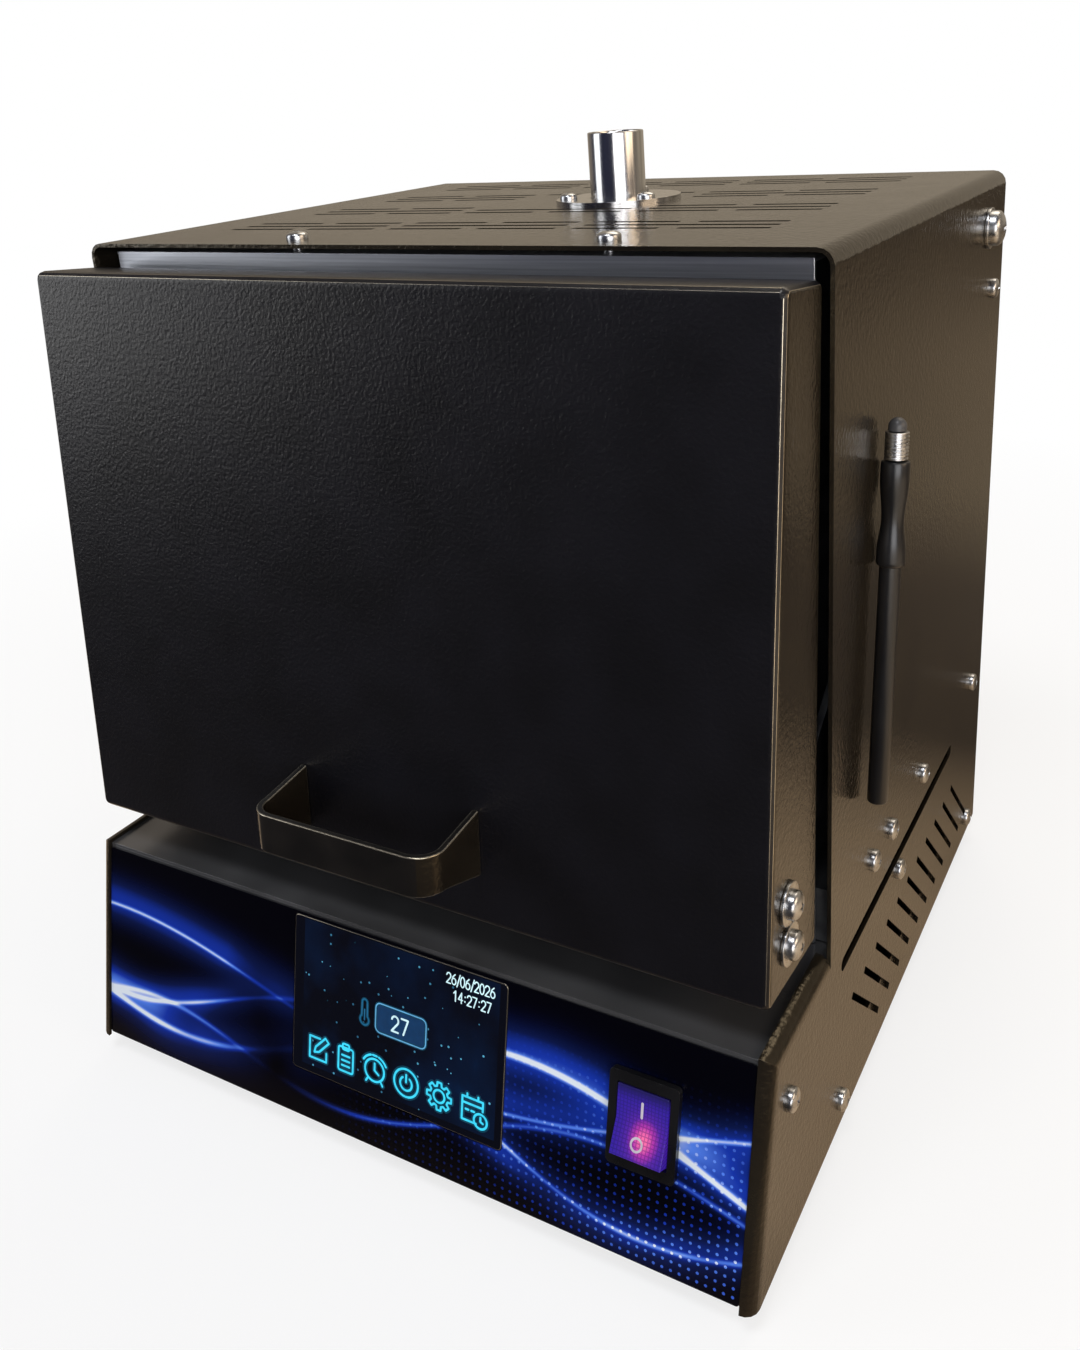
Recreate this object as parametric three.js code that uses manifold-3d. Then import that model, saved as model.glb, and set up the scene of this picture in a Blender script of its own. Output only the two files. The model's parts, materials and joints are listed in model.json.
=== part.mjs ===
// A benchtop dental lab furnace with a lift-up door.
// Millimetres, +Z up, +X to the right as the user sees it, +Y to the back.
// The origin lies on the table, under the middle of the furnace.

import * as THREE from 'three';
import { mergeVertices } from 'three/addons/utils/BufferGeometryUtils.js';
import Module from 'manifold-3d';

const wasm = await Module();
wasm.setup();

// Fits and drawing steps
const fitGap = 0.3;
const overrun = 3;
const roundSides = 16;
const roundEndShare = 0.499;
// A pan head's shoulder, slope and crown, as shares of its height and radius
const headShoulderShare = 0.4;
const headSlopeShare = 0.8;
const headCrownShare = 0.4;
const fineSides = 24;

// Casing: one folded sheet, open below, behind and at the door
const casingWidth = 250;
const casingDepth = 195.8;
const casingHeight = 269.9;
const casingSheet = 1.2;
const casingBend = 4.5;
const ledgeReach = 44.9;
const ledgeHeight = 71.2;
const consoleReach = 62.4;
const slopeLength = Math.hypot(consoleReach - ledgeReach, ledgeHeight);

// Vents in the top: groups of three rows of dashes
const ventEdge = 12;
const ventRows = 3;
const ventFront = 35.2;
const ventGroupPitch = 42.2;
const ventRowPitch = 7.3;
const ventWidth = 2.4;
const ventDash = 27;
const ventDashPitch = 33;
const ventDashes = 6;

// Louvres and the long slot in the sides
const louvrePitch = 12.75;
const louvreLength = 42;
const louvreWidth = 2.2;
const louvreTilt = Math.PI / 4;
const louvreFirstY = 36.2;
const louvreMiddleZ = 25.6;
const sideSlotFront = 10;
const sideSlotInset = 49.8;
const sideSlotRear = casingDepth - sideSlotInset;
const sideSlotHeight = 4.6;
const sideSlotDrop = 11.7;
const sideSlotZ = ledgeHeight - sideSlotDrop;

// Console: ledge and slanted front in one fold, with its printed overlay
const consoleSheet = 1.2;
const consoleFoot = 1.4;
const consoleReturn = 14;
const consoleFlange = 22;
const consoleRear = 12;
const overlaySheet = 0.5;
const overlayEdge = 1;

// Display and its glass, placed along the slanted front
const glassWidth = 80;
const glassHeight = 52;
const glassSheet = 2;
const glassCorner = 1.5;
const glassX = 4.4;
const glassTopGap = 3.6;
const glassUp = slopeLength - glassTopGap - glassHeight / 2;
const moduleWidth = 88;
const moduleHeight = 53;
const moduleBoard = 1.6;
const moduleFrame = 3.6;
const modulePlug = 14;

// Rocker switch
const switchInset = 35.2;
const switchX = casingWidth / 2 - switchInset;
const switchDrop = 29.3;
const switchUp = slopeLength - switchDrop;
const bezelWidth = 21;
const bezelHeight = 28;
const bezelSheet = 2;
const bezelCorner = 1.5;
const switchWall = 1.3;
const switchDepth = 20;
const rockerWidth = 15.4;
const rockerReach = 9.6;
const rockerSweep = 10.3;
const rockerCrown = 3.4;
const rockerPivotDepth = 3.1;
const rockerBelly = 6.5;
const rockerTilt = THREE.MathUtils.degToRad(10);
const rockerPin = 1.5;
const rockerPinLength = 1;
const rockerSlack = 0.36;
const bladeWidth = 6.3;
const bladeSheet = 0.8;
const bladeLength = 8;

// Door: a folded shell that leans back and lifts on two arms
const doorSideGap = 2.5;
const doorWidth = casingWidth - 2 * doorSideGap;
const doorTopDrop = 5;
const doorTopDepth = 22.7;
const doorFootDepth = 35.5;
const doorSheet = 1.5;
const doorBend = 2;
const doorCorner = 2.5;
const doorFootReach = 42.4;
const doorFootGap = 12.4;
const doorFootHeight = ledgeHeight + doorFootGap;
const doorLean = THREE.MathUtils.degToRad(5.6);
const doorLength = (casingHeight - doorTopDrop - doorFootHeight) / Math.cos(doorLean);
const innerPlateSheet = 1;
const padWidth = 160;
const padFoot = 28;
const padTopDrop = 30.2;
const padTop = doorLength - padTopDrop;
const mouthGap = 0.8;

// Door arms, their pivots and the screws in the sides of the door
const armSheet = 2;
const armHalfWidth = 9;
const boltedGap = 0.1;
const pivotInset = 26.8;
const pivotDrop = 17.1;
const pivotY = casingDepth - pivotInset;
const pivotZ = casingHeight - pivotDrop;
const doorBoltY = -28.1;
const doorBoltRise = 24.6;
const doorBoltHighZ = doorFootHeight + doorBoltRise;
const doorBoltPitch = 12.5;
const doorBoltShank = 2;
const doorBoltHead = 4;
const doorBoltHeadHeight = 3.1;
const doorWasher = 6;
const doorWasherSheet = 1;
const doorBoltEnd = 3;
const pivotShank = 3;
const pivotHead = 6;
const pivotHeadHeight = 4.6;
const pivotWasher = 7;
const pivotWasherSheet = 1.2;
const pivotNut = 5.6;
const pivotNutHeight = 5;
const pivotSpacer = 6;
const pivotEnd = 1;

// Door handle: a bent strip, tall at the door and low at the bar
const handleLeft = -28.5;
const handleRight = 36;
const handleStand = 25;
const handleStrip = 2;
const handleBend = 8;
const handleLegFoot = 16.5;
const handleLegTop = 36.7;
const handleBarFoot = 21;
const handleBarTop = 33;

// Rear panel: a dished sheet with lugs for the pivots
const rearSheet = 1.2;
const rearFlange = 24;
const rearFoot = 1.5;
const lugReach = 14;
const lugHalfHeight = 13;
const rearVentRows = 7;
const rearVentPitch = 8;
const rearVentWidth = 3;
const rearVentLength = 40;
const rearVentX = 48;
const rearVentDrop = 118;
const rearVentZ = casingHeight - rearVentDrop;

// Base tray and feet
const traySheet = 1.2;
const trayFlange = 17;
const trayFlangeFront = -30;
const trayRearGap = 0.7;
const footHeight = 8;
const footRadius = 9;
const footTaper = 1;
const footRecess = 4;
const footRecessDepth = 4.5;
const footInset = 25;
const footX = casingWidth / 2 - footInset;
const footFrontY = -30;
const footRearY = casingDepth - footInset;

// Shelf, front plate and case round the hot chamber
const shelfSheet = 1.2;
const shelfRise = 16.8;
const shelfTop = ledgeHeight + shelfRise;
const shelfFlange = 18.8;
const shelfInset = 27.8;
const shelfRear = casingDepth - shelfInset;
const frontPlateSheet = 1.2;
const frontPlateY = 5;
const frontPlateSideGap = 0.5;
const frontPlateTopGap = 1.9;
const frontPlateTop = casingHeight - casingSheet - frontPlateTopGap;
const frontPlateFlange = 19;
const caseSheet = 1;
const caseSideGap = 15;
const caseWidth = casingWidth - 2 * caseSideGap;
const caseInset = 25.8;
const caseRear = casingDepth - caseInset;
const caseTopGap = 7.9;
const caseTop = casingHeight - caseTopGap;

// Chamber and the fibre blocks round it
const chamberWidth = 110;
const floorBlock = 37;
const roofBlock = 47;
const rearBlock = 45.3;
const chamberFloor = shelfTop + floorBlock;
const chamberTop = caseTop - roofBlock;
const chamberRear = caseRear - rearBlock;
const collarWall = 20;
const collarProud = 0.5;
const hearthSheet = 6;
const heaterPlate = 12;
const heaterRuns = 6;
const heaterWire = 1.5;
const heaterGroove = 5;
const heaterGrooveDepth = 5;
const heaterMargin = 8.25;
const heaterPitch = (chamberTop - chamberFloor - hearthSheet - 2 * heaterMargin) / (heaterRuns - 1);
const heaterBend = 5;
const heaterInset = 9;
const heaterLead = 6;

// Thermocouple and flue
const probeRadius = 3;
const probeTip = 7;
const probeDrop = 20;
const probeZ = chamberTop - probeDrop;
const probeHead = 8;
const probeHeadLength = 13;
const flueX = 12.2;
const flueInset = 14.6;
const flueY = chamberRear - flueInset;
const flueRadius = 9.525;
const flueWall = 1.2;
const flueProud = 22.9;
const flueFootGap = 3;
const flueFlangeRadius = 21.6;
const flueFlangeSheet = 1.5;
const flueScrewCircle = 17.2;
const flueScrewTurns = [210, 330, 90].map(THREE.MathUtils.degToRad);
const flueScrewShank = 1.5;
const flueScrewHead = 3;
const flueScrewHeight = 2.2;
const flueScrewLength = 5;

// Screws that hold the top of the cover to the front plate
const topScrewShank = 1.8;
const topScrewHead = 3.3;
const topScrewHeight = 2.3;
const topScrewEnd = 0.6;
const topScrewLength = caseTopGap - topScrewEnd;
const topScrewLeftX = -47.3;
const topScrewRightX = 59.8;
const topScrewY = 12.5;

// Parts of the lower bay
const boardSideGap = 33;
const boardX = boardSideGap - casingWidth / 2;
const boardY = 12;
const boardDepth = 56;
const boardSheet = 1.6;
const boardStand = 8;
const boardPost = 3;
const boardInset = 5;
const relayWidth = 19;
const relayHeight = 15;
const capRadius = 6;
const capHeight = 18;
const supplySideGap = 18;
const supplyWidth = 85;
const supplyX = casingWidth / 2 - supplySideGap - supplyWidth;
const supplyY = 10;
const supplyDepth = 58;
const supplyHeight = 32;
const supplyLip = 10;
const boardSupplyGap = 14;
const boardWidth = supplyX - boardSupplyGap - boardX;
const sinkSideGap = 30;
const sinkInset = 21.8;
const sinkX = sinkSideGap - casingWidth / 2;
const sinkWidth = 60;
const sinkDepth = 70;
const sinkY = casingDepth - sinkInset - sinkDepth;
const sinkBase = 5;
const sinkHeight = 28;
const sinkFins = 7;
const sinkFin = 2;
const solidRelayWidth = 45;
const solidRelayDepth = 58;
const solidRelayHeight = 22;
const stripX = -10;
const stripInset = 53.8;
const stripY = casingDepth - stripInset;
const stripWays = 6;
const stripPitch = 8;
const stripDepth = 20;
const stripHeight = 16;
const stripSlot = 6;

// Power inlet in the rear panel
const inletSideGap = 55;
const inletX = casingWidth / 2 - inletSideGap;
const inletZ = 40;
const inletWidth = 27;
const inletHeight = 20;
const inletBody = 24;
const inletRim = 2.5;
const inletProud = 3;
const inletWall = 2;
const inletPocket = 16;

// Stylus that rests against the right side
const stylusFootY = 29.1;
const stylusFootZ = 106.3;
const stylusLean = THREE.MathUtils.degToRad(6.3);
const stylusBarrel = 3;
const stylusRing = 4;
const stylusWaist = 3.1;
const stylusBarrelLength = 71.8;
const stylusRingLength = 5.1;
const stylusWaistAt = 85.1;
const stylusFlareAt = 97;
const stylusBodyLength = 101.7;
const stylusFerrule = 3.25;
const stylusFerruleLength = 7.6;
const stylusGrooves = 4;
const stylusGrooveDepth = 0.5;
const stylusTip = 2.5;
const stylusTipLength = 3.6;
const stylusEdge = 0.8;

// Colours with roughness and metalness
const looks = {
  powderCoat: [0x17181a, 0.42, 0.2],
  console: [0x3a3c3f, 0.45, 0.3],
  overlay: [0x0c1230, 0.3, 0],
  glass: [0x08121f, 0.08, 0],
  board: [0x1d5a38, 0.6, 0],
  blackPlastic: [0x101012, 0.45, 0],
  rocker: [0x4a2a8c, 0.25, 0],
  stainless: [0xb9bcc0, 0.28, 1],
  zinc: [0xc4c6c8, 0.35, 1],
  handle: [0x141518, 0.25, 0.4],
  galvanised: [0x9aa0a4, 0.5, 0.8],
  fibre: [0xe9e4d8, 0.95, 0],
  ceramic: [0xd9d2c2, 0.85, 0],
  heater: [0x6a5a50, 0.6, 0.7],
  rubber: [0x161616, 0.85, 0],
  aluminium: [0xb0b4b8, 0.4, 0.9],
};

// Helpers

// A closed geometry becomes a solid that can be joined or cut
function solid(geometry) {
  geometry.deleteAttribute('normal');
  geometry.deleteAttribute('uv');
  const merged = mergeVertices(geometry);
  const corners = merged.index.array;
  const kept = [];
  for (let i = 0; i < corners.length; i += 3) {
    const [a, b, c] = [corners[i], corners[i + 1], corners[i + 2]];
    if (a !== b && b !== c && c !== a) kept.push(a, b, c);
  }
  return new wasm.Manifold(new wasm.Mesh({
    numProp: 3,
    vertProperties: merged.attributes.position.array,
    triVerts: new Uint32Array(kept),
  }));
}

// The solid's faces go back into a geometry with flat normals
function geometryOf(body) {
  const { vertProperties, triVerts } = body.getMesh();
  const indexed = new THREE.BufferGeometry();
  indexed.setAttribute('position', new THREE.BufferAttribute(vertProperties, 3));
  indexed.setIndex(new THREE.BufferAttribute(triVerts, 1));
  const geometry = indexed.toNonIndexed();
  geometry.computeVertexNormals();
  return geometry;
}

function joined(...bodies) {
  return bodies.flat().reduce((whole, body) => whole.add(body));
}

function cut(body, ...cutters) {
  return body.subtract(joined(...cutters));
}

// An outline through points [across, up]
function outlineOf(points) {
  return new THREE.Shape(points.map(([a, b]) => new THREE.Vector2(a, b)));
}

// A rectangle about a middle point, with round corners
function plateOutline(middleA, middleB, width, height, corner) {
  const [a, b] = [width / 2 - corner, height / 2 - corner];
  const shape = new THREE.Shape();
  shape.absarc(middleA + a, middleB + b, corner, 0, Math.PI / 2);
  shape.absarc(middleA - a, middleB + b, corner, Math.PI / 2, Math.PI);
  shape.absarc(middleA - a, middleB - b, corner, Math.PI, 1.5 * Math.PI);
  shape.absarc(middleA + a, middleB - b, corner, 1.5 * Math.PI, 2 * Math.PI);
  return shape;
}

// A polygon whose corners are rounded by short arcs
function softened(points, radius, steps) {
  const shape = [];
  points.forEach((corner, i) => {
    const here = new THREE.Vector2(...corner);
    const before = new THREE.Vector2(...points.at(i - 1)).sub(here).normalize();
    const after = new THREE.Vector2(...points[(i + 1) % points.length]).sub(here).normalize();
    const half = Math.acos(before.dot(after)) / 2;
    const middle = before.clone().add(after).normalize().multiplyScalar(radius / Math.sin(half)).add(here);
    const first = before.multiplyScalar(radius / Math.tan(half)).add(here).sub(middle);
    const last = after.multiplyScalar(radius / Math.tan(half)).add(here).sub(middle);
    const turn = Math.atan2(first.cross(last), first.dot(last));
    for (let step = 0; step <= steps; step++) {
      const point = first.clone().rotateAround(new THREE.Vector2(), turn * step / steps).add(middle);
      shape.push([point.x, point.y]);
    }
  });
  return shape;
}

// Extrusions: a shape in (Y, Z) along X, one in (X, Z) along Y, one in (X, Y) along Z
function alongX(shape, from, to, curveSegments = 4) {
  const geometry = new THREE.ExtrudeGeometry(shape, { depth: to - from, bevelEnabled: false, curveSegments });
  return geometry.rotateX(Math.PI / 2).rotateZ(Math.PI / 2).translate(from, 0, 0);
}

function alongY(shape, from, to, curveSegments = 4) {
  const geometry = new THREE.ExtrudeGeometry(shape, { depth: to - from, bevelEnabled: false, curveSegments });
  return geometry.rotateX(Math.PI / 2).translate(0, to, 0);
}

function alongZ(shape, from, to, curveSegments = 4) {
  const geometry = new THREE.ExtrudeGeometry(shape, { depth: to - from, bevelEnabled: false, curveSegments });
  return geometry.translate(0, 0, from);
}

// A block between two corners
function block(x0, x1, y0, y1, z0, z1) {
  const geometry = new THREE.BoxGeometry(x1 - x0, y1 - y0, z1 - z0);
  return geometry.translate((x0 + x1) / 2, (y0 + y1) / 2, (z0 + z1) / 2);
}

// A turned piece from points [radius, height], standing along Z
function turned(points, sides = roundSides) {
  const profile = points.map(([r, h]) => new THREE.Vector2(r, h));
  return new THREE.LatheGeometry(profile, sides).rotateX(Math.PI / 2);
}

// The same piece lying along +X, or along +Y
function turnedX(points, sides) {
  return turned(points, sides).rotateY(Math.PI / 2);
}

function turnedY(points, sides) {
  return turned(points, sides).rotateX(-Math.PI / 2);
}

// A round bar, used as a pin or as a cutter
function bar(radius, from, to, sides = roundSides) {
  return turned([[0, from], [radius, from], [radius, to], [0, to]], sides);
}

function barX(radius, from, to, y, z, sides) {
  return bar(radius, from, to, sides).rotateY(Math.PI / 2).translate(0, y, z);
}

function barY(radius, from, to, x, z, sides) {
  return bar(radius, from, to, sides).rotateX(-Math.PI / 2).translate(x, 0, z);
}

function barZ(radius, from, to, x, y, sides) {
  return bar(radius, from, to, sides).translate(x, y, 0);
}

// An outline pulled across the width, with its side edges rounded; the inset gives the inner skin
function foldedAcross(points, width, radius, inset, bevelSegments) {
  const geometry = new THREE.ExtrudeGeometry(outlineOf(points), {
    depth: width - 2 * radius,
    bevelThickness: radius - inset,
    bevelSize: radius - inset,
    bevelOffset: -radius,
    bevelSegments,
  });
  geometry.translate(0, 0, radius - width / 2);
  return geometry.rotateX(Math.PI / 2).rotateZ(Math.PI / 2);
}

// A mirror image about the middle plane, with its faces turned back outwards
function mirrored(geometry) {
  const indexed = mergeVertices(geometry.clone());
  const points = indexed.attributes.position;
  for (let i = 0; i < points.count; i++) points.setX(i, -points.getX(i));
  const corners = indexed.index.array;
  for (let i = 0; i < corners.length; i += 3) {
    [corners[i], corners[i + 1]] = [corners[i + 1], corners[i]];
  }
  return indexed;
}

// A mesh with a name, a shape and a look of its own
function piece(name, shape, look) {
  const geometry = shape.isBufferGeometry ? shape : geometryOf(shape);
  const [color, roughness, metalness] = looks[look];
  const mesh = new THREE.Mesh(geometry, new THREE.MeshStandardMaterial({ color, roughness, metalness }));
  mesh.name = name;
  return mesh;
}

// Places that several pieces share
const halfWidth = casingWidth / 2;
const innerSide = halfWidth - casingSheet;
const seatSide = innerSide - fitGap;
const cutAhead = casingBend + overrun;
const slantRun = (consoleReach - ledgeReach) / ledgeHeight;
const slant = Math.atan(slantRun);
const slantScale = Math.hypot(1, slantRun);

// Y of the plane that lies a depth behind the slanted front, at a height
function slantAt(height, depth) {
  return height * slantRun - consoleReach + depth * slantScale;
}

const lowerOutline = [
  [slantAt(-cutAhead, 0), -cutAhead],
  [casingDepth + cutAhead, -cutAhead],
  [casingDepth + cutAhead, ledgeHeight],
  [-ledgeReach, ledgeHeight],
];
const upperOutline = [
  [-cutAhead, -cutAhead],
  [casingDepth + cutAhead, -cutAhead],
  [casingDepth + cutAhead, casingHeight],
  [-cutAhead, casingHeight],
];

function lowerSkin(inset) {
  return solid(foldedAcross(lowerOutline, casingWidth, casingBend, inset, 4));
}

function upperSkin(inset) {
  return solid(foldedAcross(upperOutline, casingWidth, casingBend, inset, 4));
}

// The slanted front as a frame: up along the slope, depth square into the console
const slopeGroup = new THREE.Group();
slopeGroup.position.set(0, -consoleReach, 0);
slopeGroup.rotation.x = -slant;
slopeGroup.updateMatrix();

const consoleDepth = casingSheet + fitGap;
const overlayBack = consoleDepth - fitGap;
const overlayFace = overlayBack - overlaySheet;
const consoleBack = consoleDepth + consoleSheet;
const rimEdge = halfWidth - casingBend;

// Outer cover
const farSide = halfWidth + overrun;
const ahead = consoleReach + overrun;
const behind = casingDepth + cutAhead + overrun;

function ventCutters() {
  const cutters = [];
  const ventTop = [casingHeight - casingSheet - overrun, casingHeight + overrun];
  const flangeClear = flueFlangeRadius + ventWidth;
  const groupRoom = casingDepth - ventFront - (ventRows - 1) * ventRowPitch - ventEdge;
  for (let group = 0; group <= groupRoom / ventGroupPitch; group++) {
    for (let row = 0; row < ventRows; row++) {
      const y = ventFront + group * ventGroupPitch + row * ventRowPitch;
      const merged = row === 1 ? 2 : 1;
      const pitch = ventDashPitch * merged;
      const length = pitch - (ventDashPitch - ventDash);
      for (let dash = 0; dash < ventDashes / merged; dash++) {
        const x = (dash - (ventDashes / merged - 1) / 2) * pitch;
        const gapX = Math.max(0, Math.abs(x - flueX) - length / 2);
        const blocked = Math.hypot(gapX, y - flueY) < flangeClear;
        if (!blocked) {
          const front = y - ventWidth / 2;
          cutters.push(solid(block(x - length / 2, x + length / 2, front, front + ventWidth, ...ventTop)));
        }
      }
    }
  }
  return cutters;
}

function louvreCutters() {
  const room = casingDepth - louvreFirstY - louvreLength * Math.cos(louvreTilt) / 2 - ventEdge;
  return Array.from({ length: Math.floor(room / louvrePitch) + 1 }, (_, i) => {
    const slit = new THREE.BoxGeometry(2 * farSide, louvreLength, louvreWidth).rotateX(-louvreTilt);
    return solid(slit.translate(0, louvreFirstY + i * louvrePitch, louvreMiddleZ));
  });
}

const sideSlot = plateOutline(
  (sideSlotFront + sideSlotRear) / 2, sideSlotZ,
  sideSlotRear - sideSlotFront, sideSlotHeight, sideSlotHeight * roundEndShare,
);
const topHoleSpan = [casingHeight - casingSheet - overrun, casingHeight + overrun];
const flueScrewPlaces = flueScrewTurns.map((turn) => [
  flueX + flueScrewCircle * Math.cos(turn), flueY + flueScrewCircle * Math.sin(turn),
]);
const topScrewXs = [topScrewLeftX, topScrewRightX];

function outerCover() {
  const upper = cut(upperSkin(0), solid(block(-farSide, farSide, -ahead, 0, -behind, behind + casingHeight)));
  const outer = lowerSkin(0).add(upper);
  const belowLedge = solid(block(-farSide, farSide, -ahead, 0, -behind, ledgeHeight));
  const hollow = lowerSkin(casingSheet).add(cut(upperSkin(casingSheet), belowLedge));
  const openings = [
    solid(block(-farSide, farSide, -2 * ahead, behind, -2 * cutAhead, 0)),
    solid(block(-farSide, farSide, casingDepth, behind, -2 * cutAhead, casingHeight + overrun)),
    solid(block(-rimEdge, rimEdge, -ahead, overrun, -overrun, ledgeHeight + overrun)),
    solid(alongX(sideSlot, -farSide, farSide, 3)),
    solid(barX(pivotShank + fitGap, -farSide, farSide, pivotY, pivotZ)),
    solid(barZ(flueRadius + fitGap, ...topHoleSpan, flueX, flueY, fineSides)),
    ...topScrewXs.map((x) => solid(barZ(topScrewShank + fitGap, ...topHoleSpan, x, topScrewY, 8))),
    ...flueScrewPlaces.map(([x, y]) => solid(barZ(flueScrewShank + fitGap, ...topHoleSpan, x, y, 8))),
  ];
  return cut(cut(outer, hollow), ...openings, ...ventCutters(), ...louvreCutters());
}

// Console panel, overlay, display and switch
function onSlope(geometry) {
  return geometry.applyMatrix4(slopeGroup.matrix);
}

const glassSeat = [glassX, glassUp, glassWidth + 2 * fitGap, glassHeight + 2 * fitGap, glassCorner + fitGap];
const switchBodyWidth = rockerWidth + 2 * fitGap + 2 * switchWall;
const rockerBay = 2 * (rockerSweep + rockerSlack);
const switchBodyHeight = rockerBay + 2 * switchWall;
const switchSeat = [
  switchX, switchUp, switchBodyWidth + 2 * fitGap, switchBodyHeight + 2 * fitGap, bezelCorner,
];

function consolePanel() {
  const skin = cut(lowerSkin(consoleDepth), lowerSkin(consoleBack));
  const keptHeight = ledgeHeight - consoleFlange;
  const inside = outlineOf([
    [slantAt(-cutAhead, consoleFlange), -cutAhead],
    [behind, -cutAhead],
    [behind, keptHeight],
    [slantAt(keptHeight, consoleFlange), keptHeight],
  ]);
  const glassHole = alongY(plateOutline(...glassSeat), -overrun, consoleBack + overrun);
  const switchHole = alongY(plateOutline(...switchSeat), -overrun, consoleBack + overrun);
  const sheet = cut(
    skin,
    solid(alongX(inside, -farSide, farSide)),
    solid(block(-farSide, farSide, consoleRear, behind, -2 * cutAhead, ledgeHeight)),
    solid(block(-farSide, farSide, -2 * ahead, behind, -2 * cutAhead, consoleFoot)),
    solid(onSlope(glassHole)),
    solid(onSlope(switchHole)),
  );
  const foldFront = slantAt(consoleFoot + consoleSheet, consoleDepth);
  const foldRear = slantAt(consoleFoot, consoleBack) + consoleReturn;
  const returnSide = seatSide - casingBend;
  const returnTop = consoleFoot + consoleSheet;
  const footReturn = block(-returnSide, returnSide, foldFront, foldRear, consoleFoot, returnTop);
  return sheet.add(solid(footReturn));
}

function panelOverlay() {
  const foot = (consoleFoot / ledgeHeight) * slopeLength + fitGap;
  const top = slopeLength - consoleDepth - overlayEdge;
  const side = rimEdge - fitGap;
  const shape = plateOutline(0, (foot + top) / 2, 2 * side, top - foot, overlayEdge);
  shape.holes.push(plateOutline(...glassSeat), plateOutline(...switchSeat));
  return alongY(shape, overlayFace, overlayBack);
}

function touchGlass() {
  const shape = plateOutline(glassX, glassUp, glassWidth, glassHeight, glassCorner);
  return alongY(shape, overlayFace, overlayFace + glassSheet);
}

function displayModule() {
  const front = consoleBack + fitGap;
  const rear = front + moduleFrame;
  const frame = plateOutline(glassX, glassUp, glassWidth, moduleHeight, glassCorner);
  const board = plateOutline(glassX, glassUp, moduleWidth, moduleHeight, glassCorner);
  const plugTop = glassUp - moduleHeight / 2 + modulePlug;
  const plug = block(
    glassX - modulePlug, glassX + modulePlug, rear, rear + modulePlug / 2, plugTop - modulePlug / 2, plugTop,
  );
  return joined(
    solid(alongY(frame, front, rear)),
    solid(alongY(board, rear - moduleBoard / 2, rear + moduleBoard / 2)),
    solid(plug),
  );
}

const bezelBack = overlayFace - fitGap;
const bezelFront = bezelBack - bezelSheet;
const rockerAxis = bezelFront + rockerPivotDepth;
const switchBack = bezelFront + switchDepth;
const rockerBayWidth = rockerWidth + 2 * fitGap;

function switchHousing() {
  const bezel = plateOutline(switchX, switchUp, bezelWidth, bezelHeight, bezelCorner);
  const body = plateOutline(switchX, switchUp, switchBodyWidth, switchBodyHeight, bezelCorner);
  const bayFloor = rockerAxis + rockerSweep;
  const bay = block(
    switchX - rockerBayWidth / 2, switchX + rockerBayWidth / 2, bezelFront - overrun, bayFloor,
    switchUp - rockerBay / 2, switchUp + rockerBay / 2,
  );
  const pinSpan = [switchX - bezelWidth, switchX + bezelWidth];
  const pinHole = barX(rockerPin + fitGap, ...pinSpan, rockerAxis, switchUp, 10);
  const bladeUp = switchBodyHeight / 4;
  const bladeAcross = switchBodyWidth / 4;
  const blades = [-1, 1].flatMap((row) => [-1, 1].map((column) => {
    const [x, z] = [switchX + column * bladeAcross, switchUp + row * bladeUp];
    return solid(block(
      x - bladeSheet / 2, x + bladeSheet / 2, switchBack - overrun, switchBack + bladeLength,
      z - bladeWidth / 2, z + bladeWidth / 2,
    ));
  }));
  const rim = solid(alongY(bezel, bezelFront, bezelBack));
  const shell = rim.add(solid(alongY(body, bezelFront, switchBack)));
  return joined(cut(shell, solid(bay), solid(pinHole)), ...blades);
}

// The rocker is drawn level about its own axis, and turned by the tilt to its ON side
function switchRocker() {
  const end = Math.tan(rockerTilt) * rockerReach + rockerCrown;
  const step = rockerSweep * Math.sin(2 * rockerTilt);
  const side = rockerSweep * Math.cos(2 * rockerTilt);
  const half = [
    [rockerReach, -end], [side, -step], [rockerSweep, 0], [side, step], [rockerBelly, rockerBelly],
  ];
  const other = half.map(([a, b]) => [-a, b]).reverse();
  const profile = [[0, -rockerCrown], ...half, ...other].map(([up, depth]) => [depth, up]);
  const body = alongX(outlineOf(profile), -rockerWidth / 2, rockerWidth / 2);
  const pinReach = rockerWidth / 2 + rockerPinLength;
  return solid(body).add(solid(barX(rockerPin, -pinReach, pinReach, 0, 0, 10)));
}

// Door
const doorInner = doorWidth / 2 - doorSheet;
const armOuter = doorInner - boltedGap;
const armInner = armOuter - armSheet;

// Depth of the rear plane of the door behind its front face, at a length up the door
function doorRearAt(up) {
  return doorFootDepth + (doorTopDepth - doorFootDepth) * up / doorLength;
}

const doorBoltZs = [doorBoltHighZ, doorBoltHighZ - doorBoltPitch];

// A place in the casing's frame, as depth and length up in the door's own frame
function inDoor(y, z) {
  const [back, up] = [y + doorFootReach, z - doorFootHeight];
  return [
    back * Math.cos(doorLean) - up * Math.sin(doorLean),
    back * Math.sin(doorLean) + up * Math.cos(doorLean),
  ];
}

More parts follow.
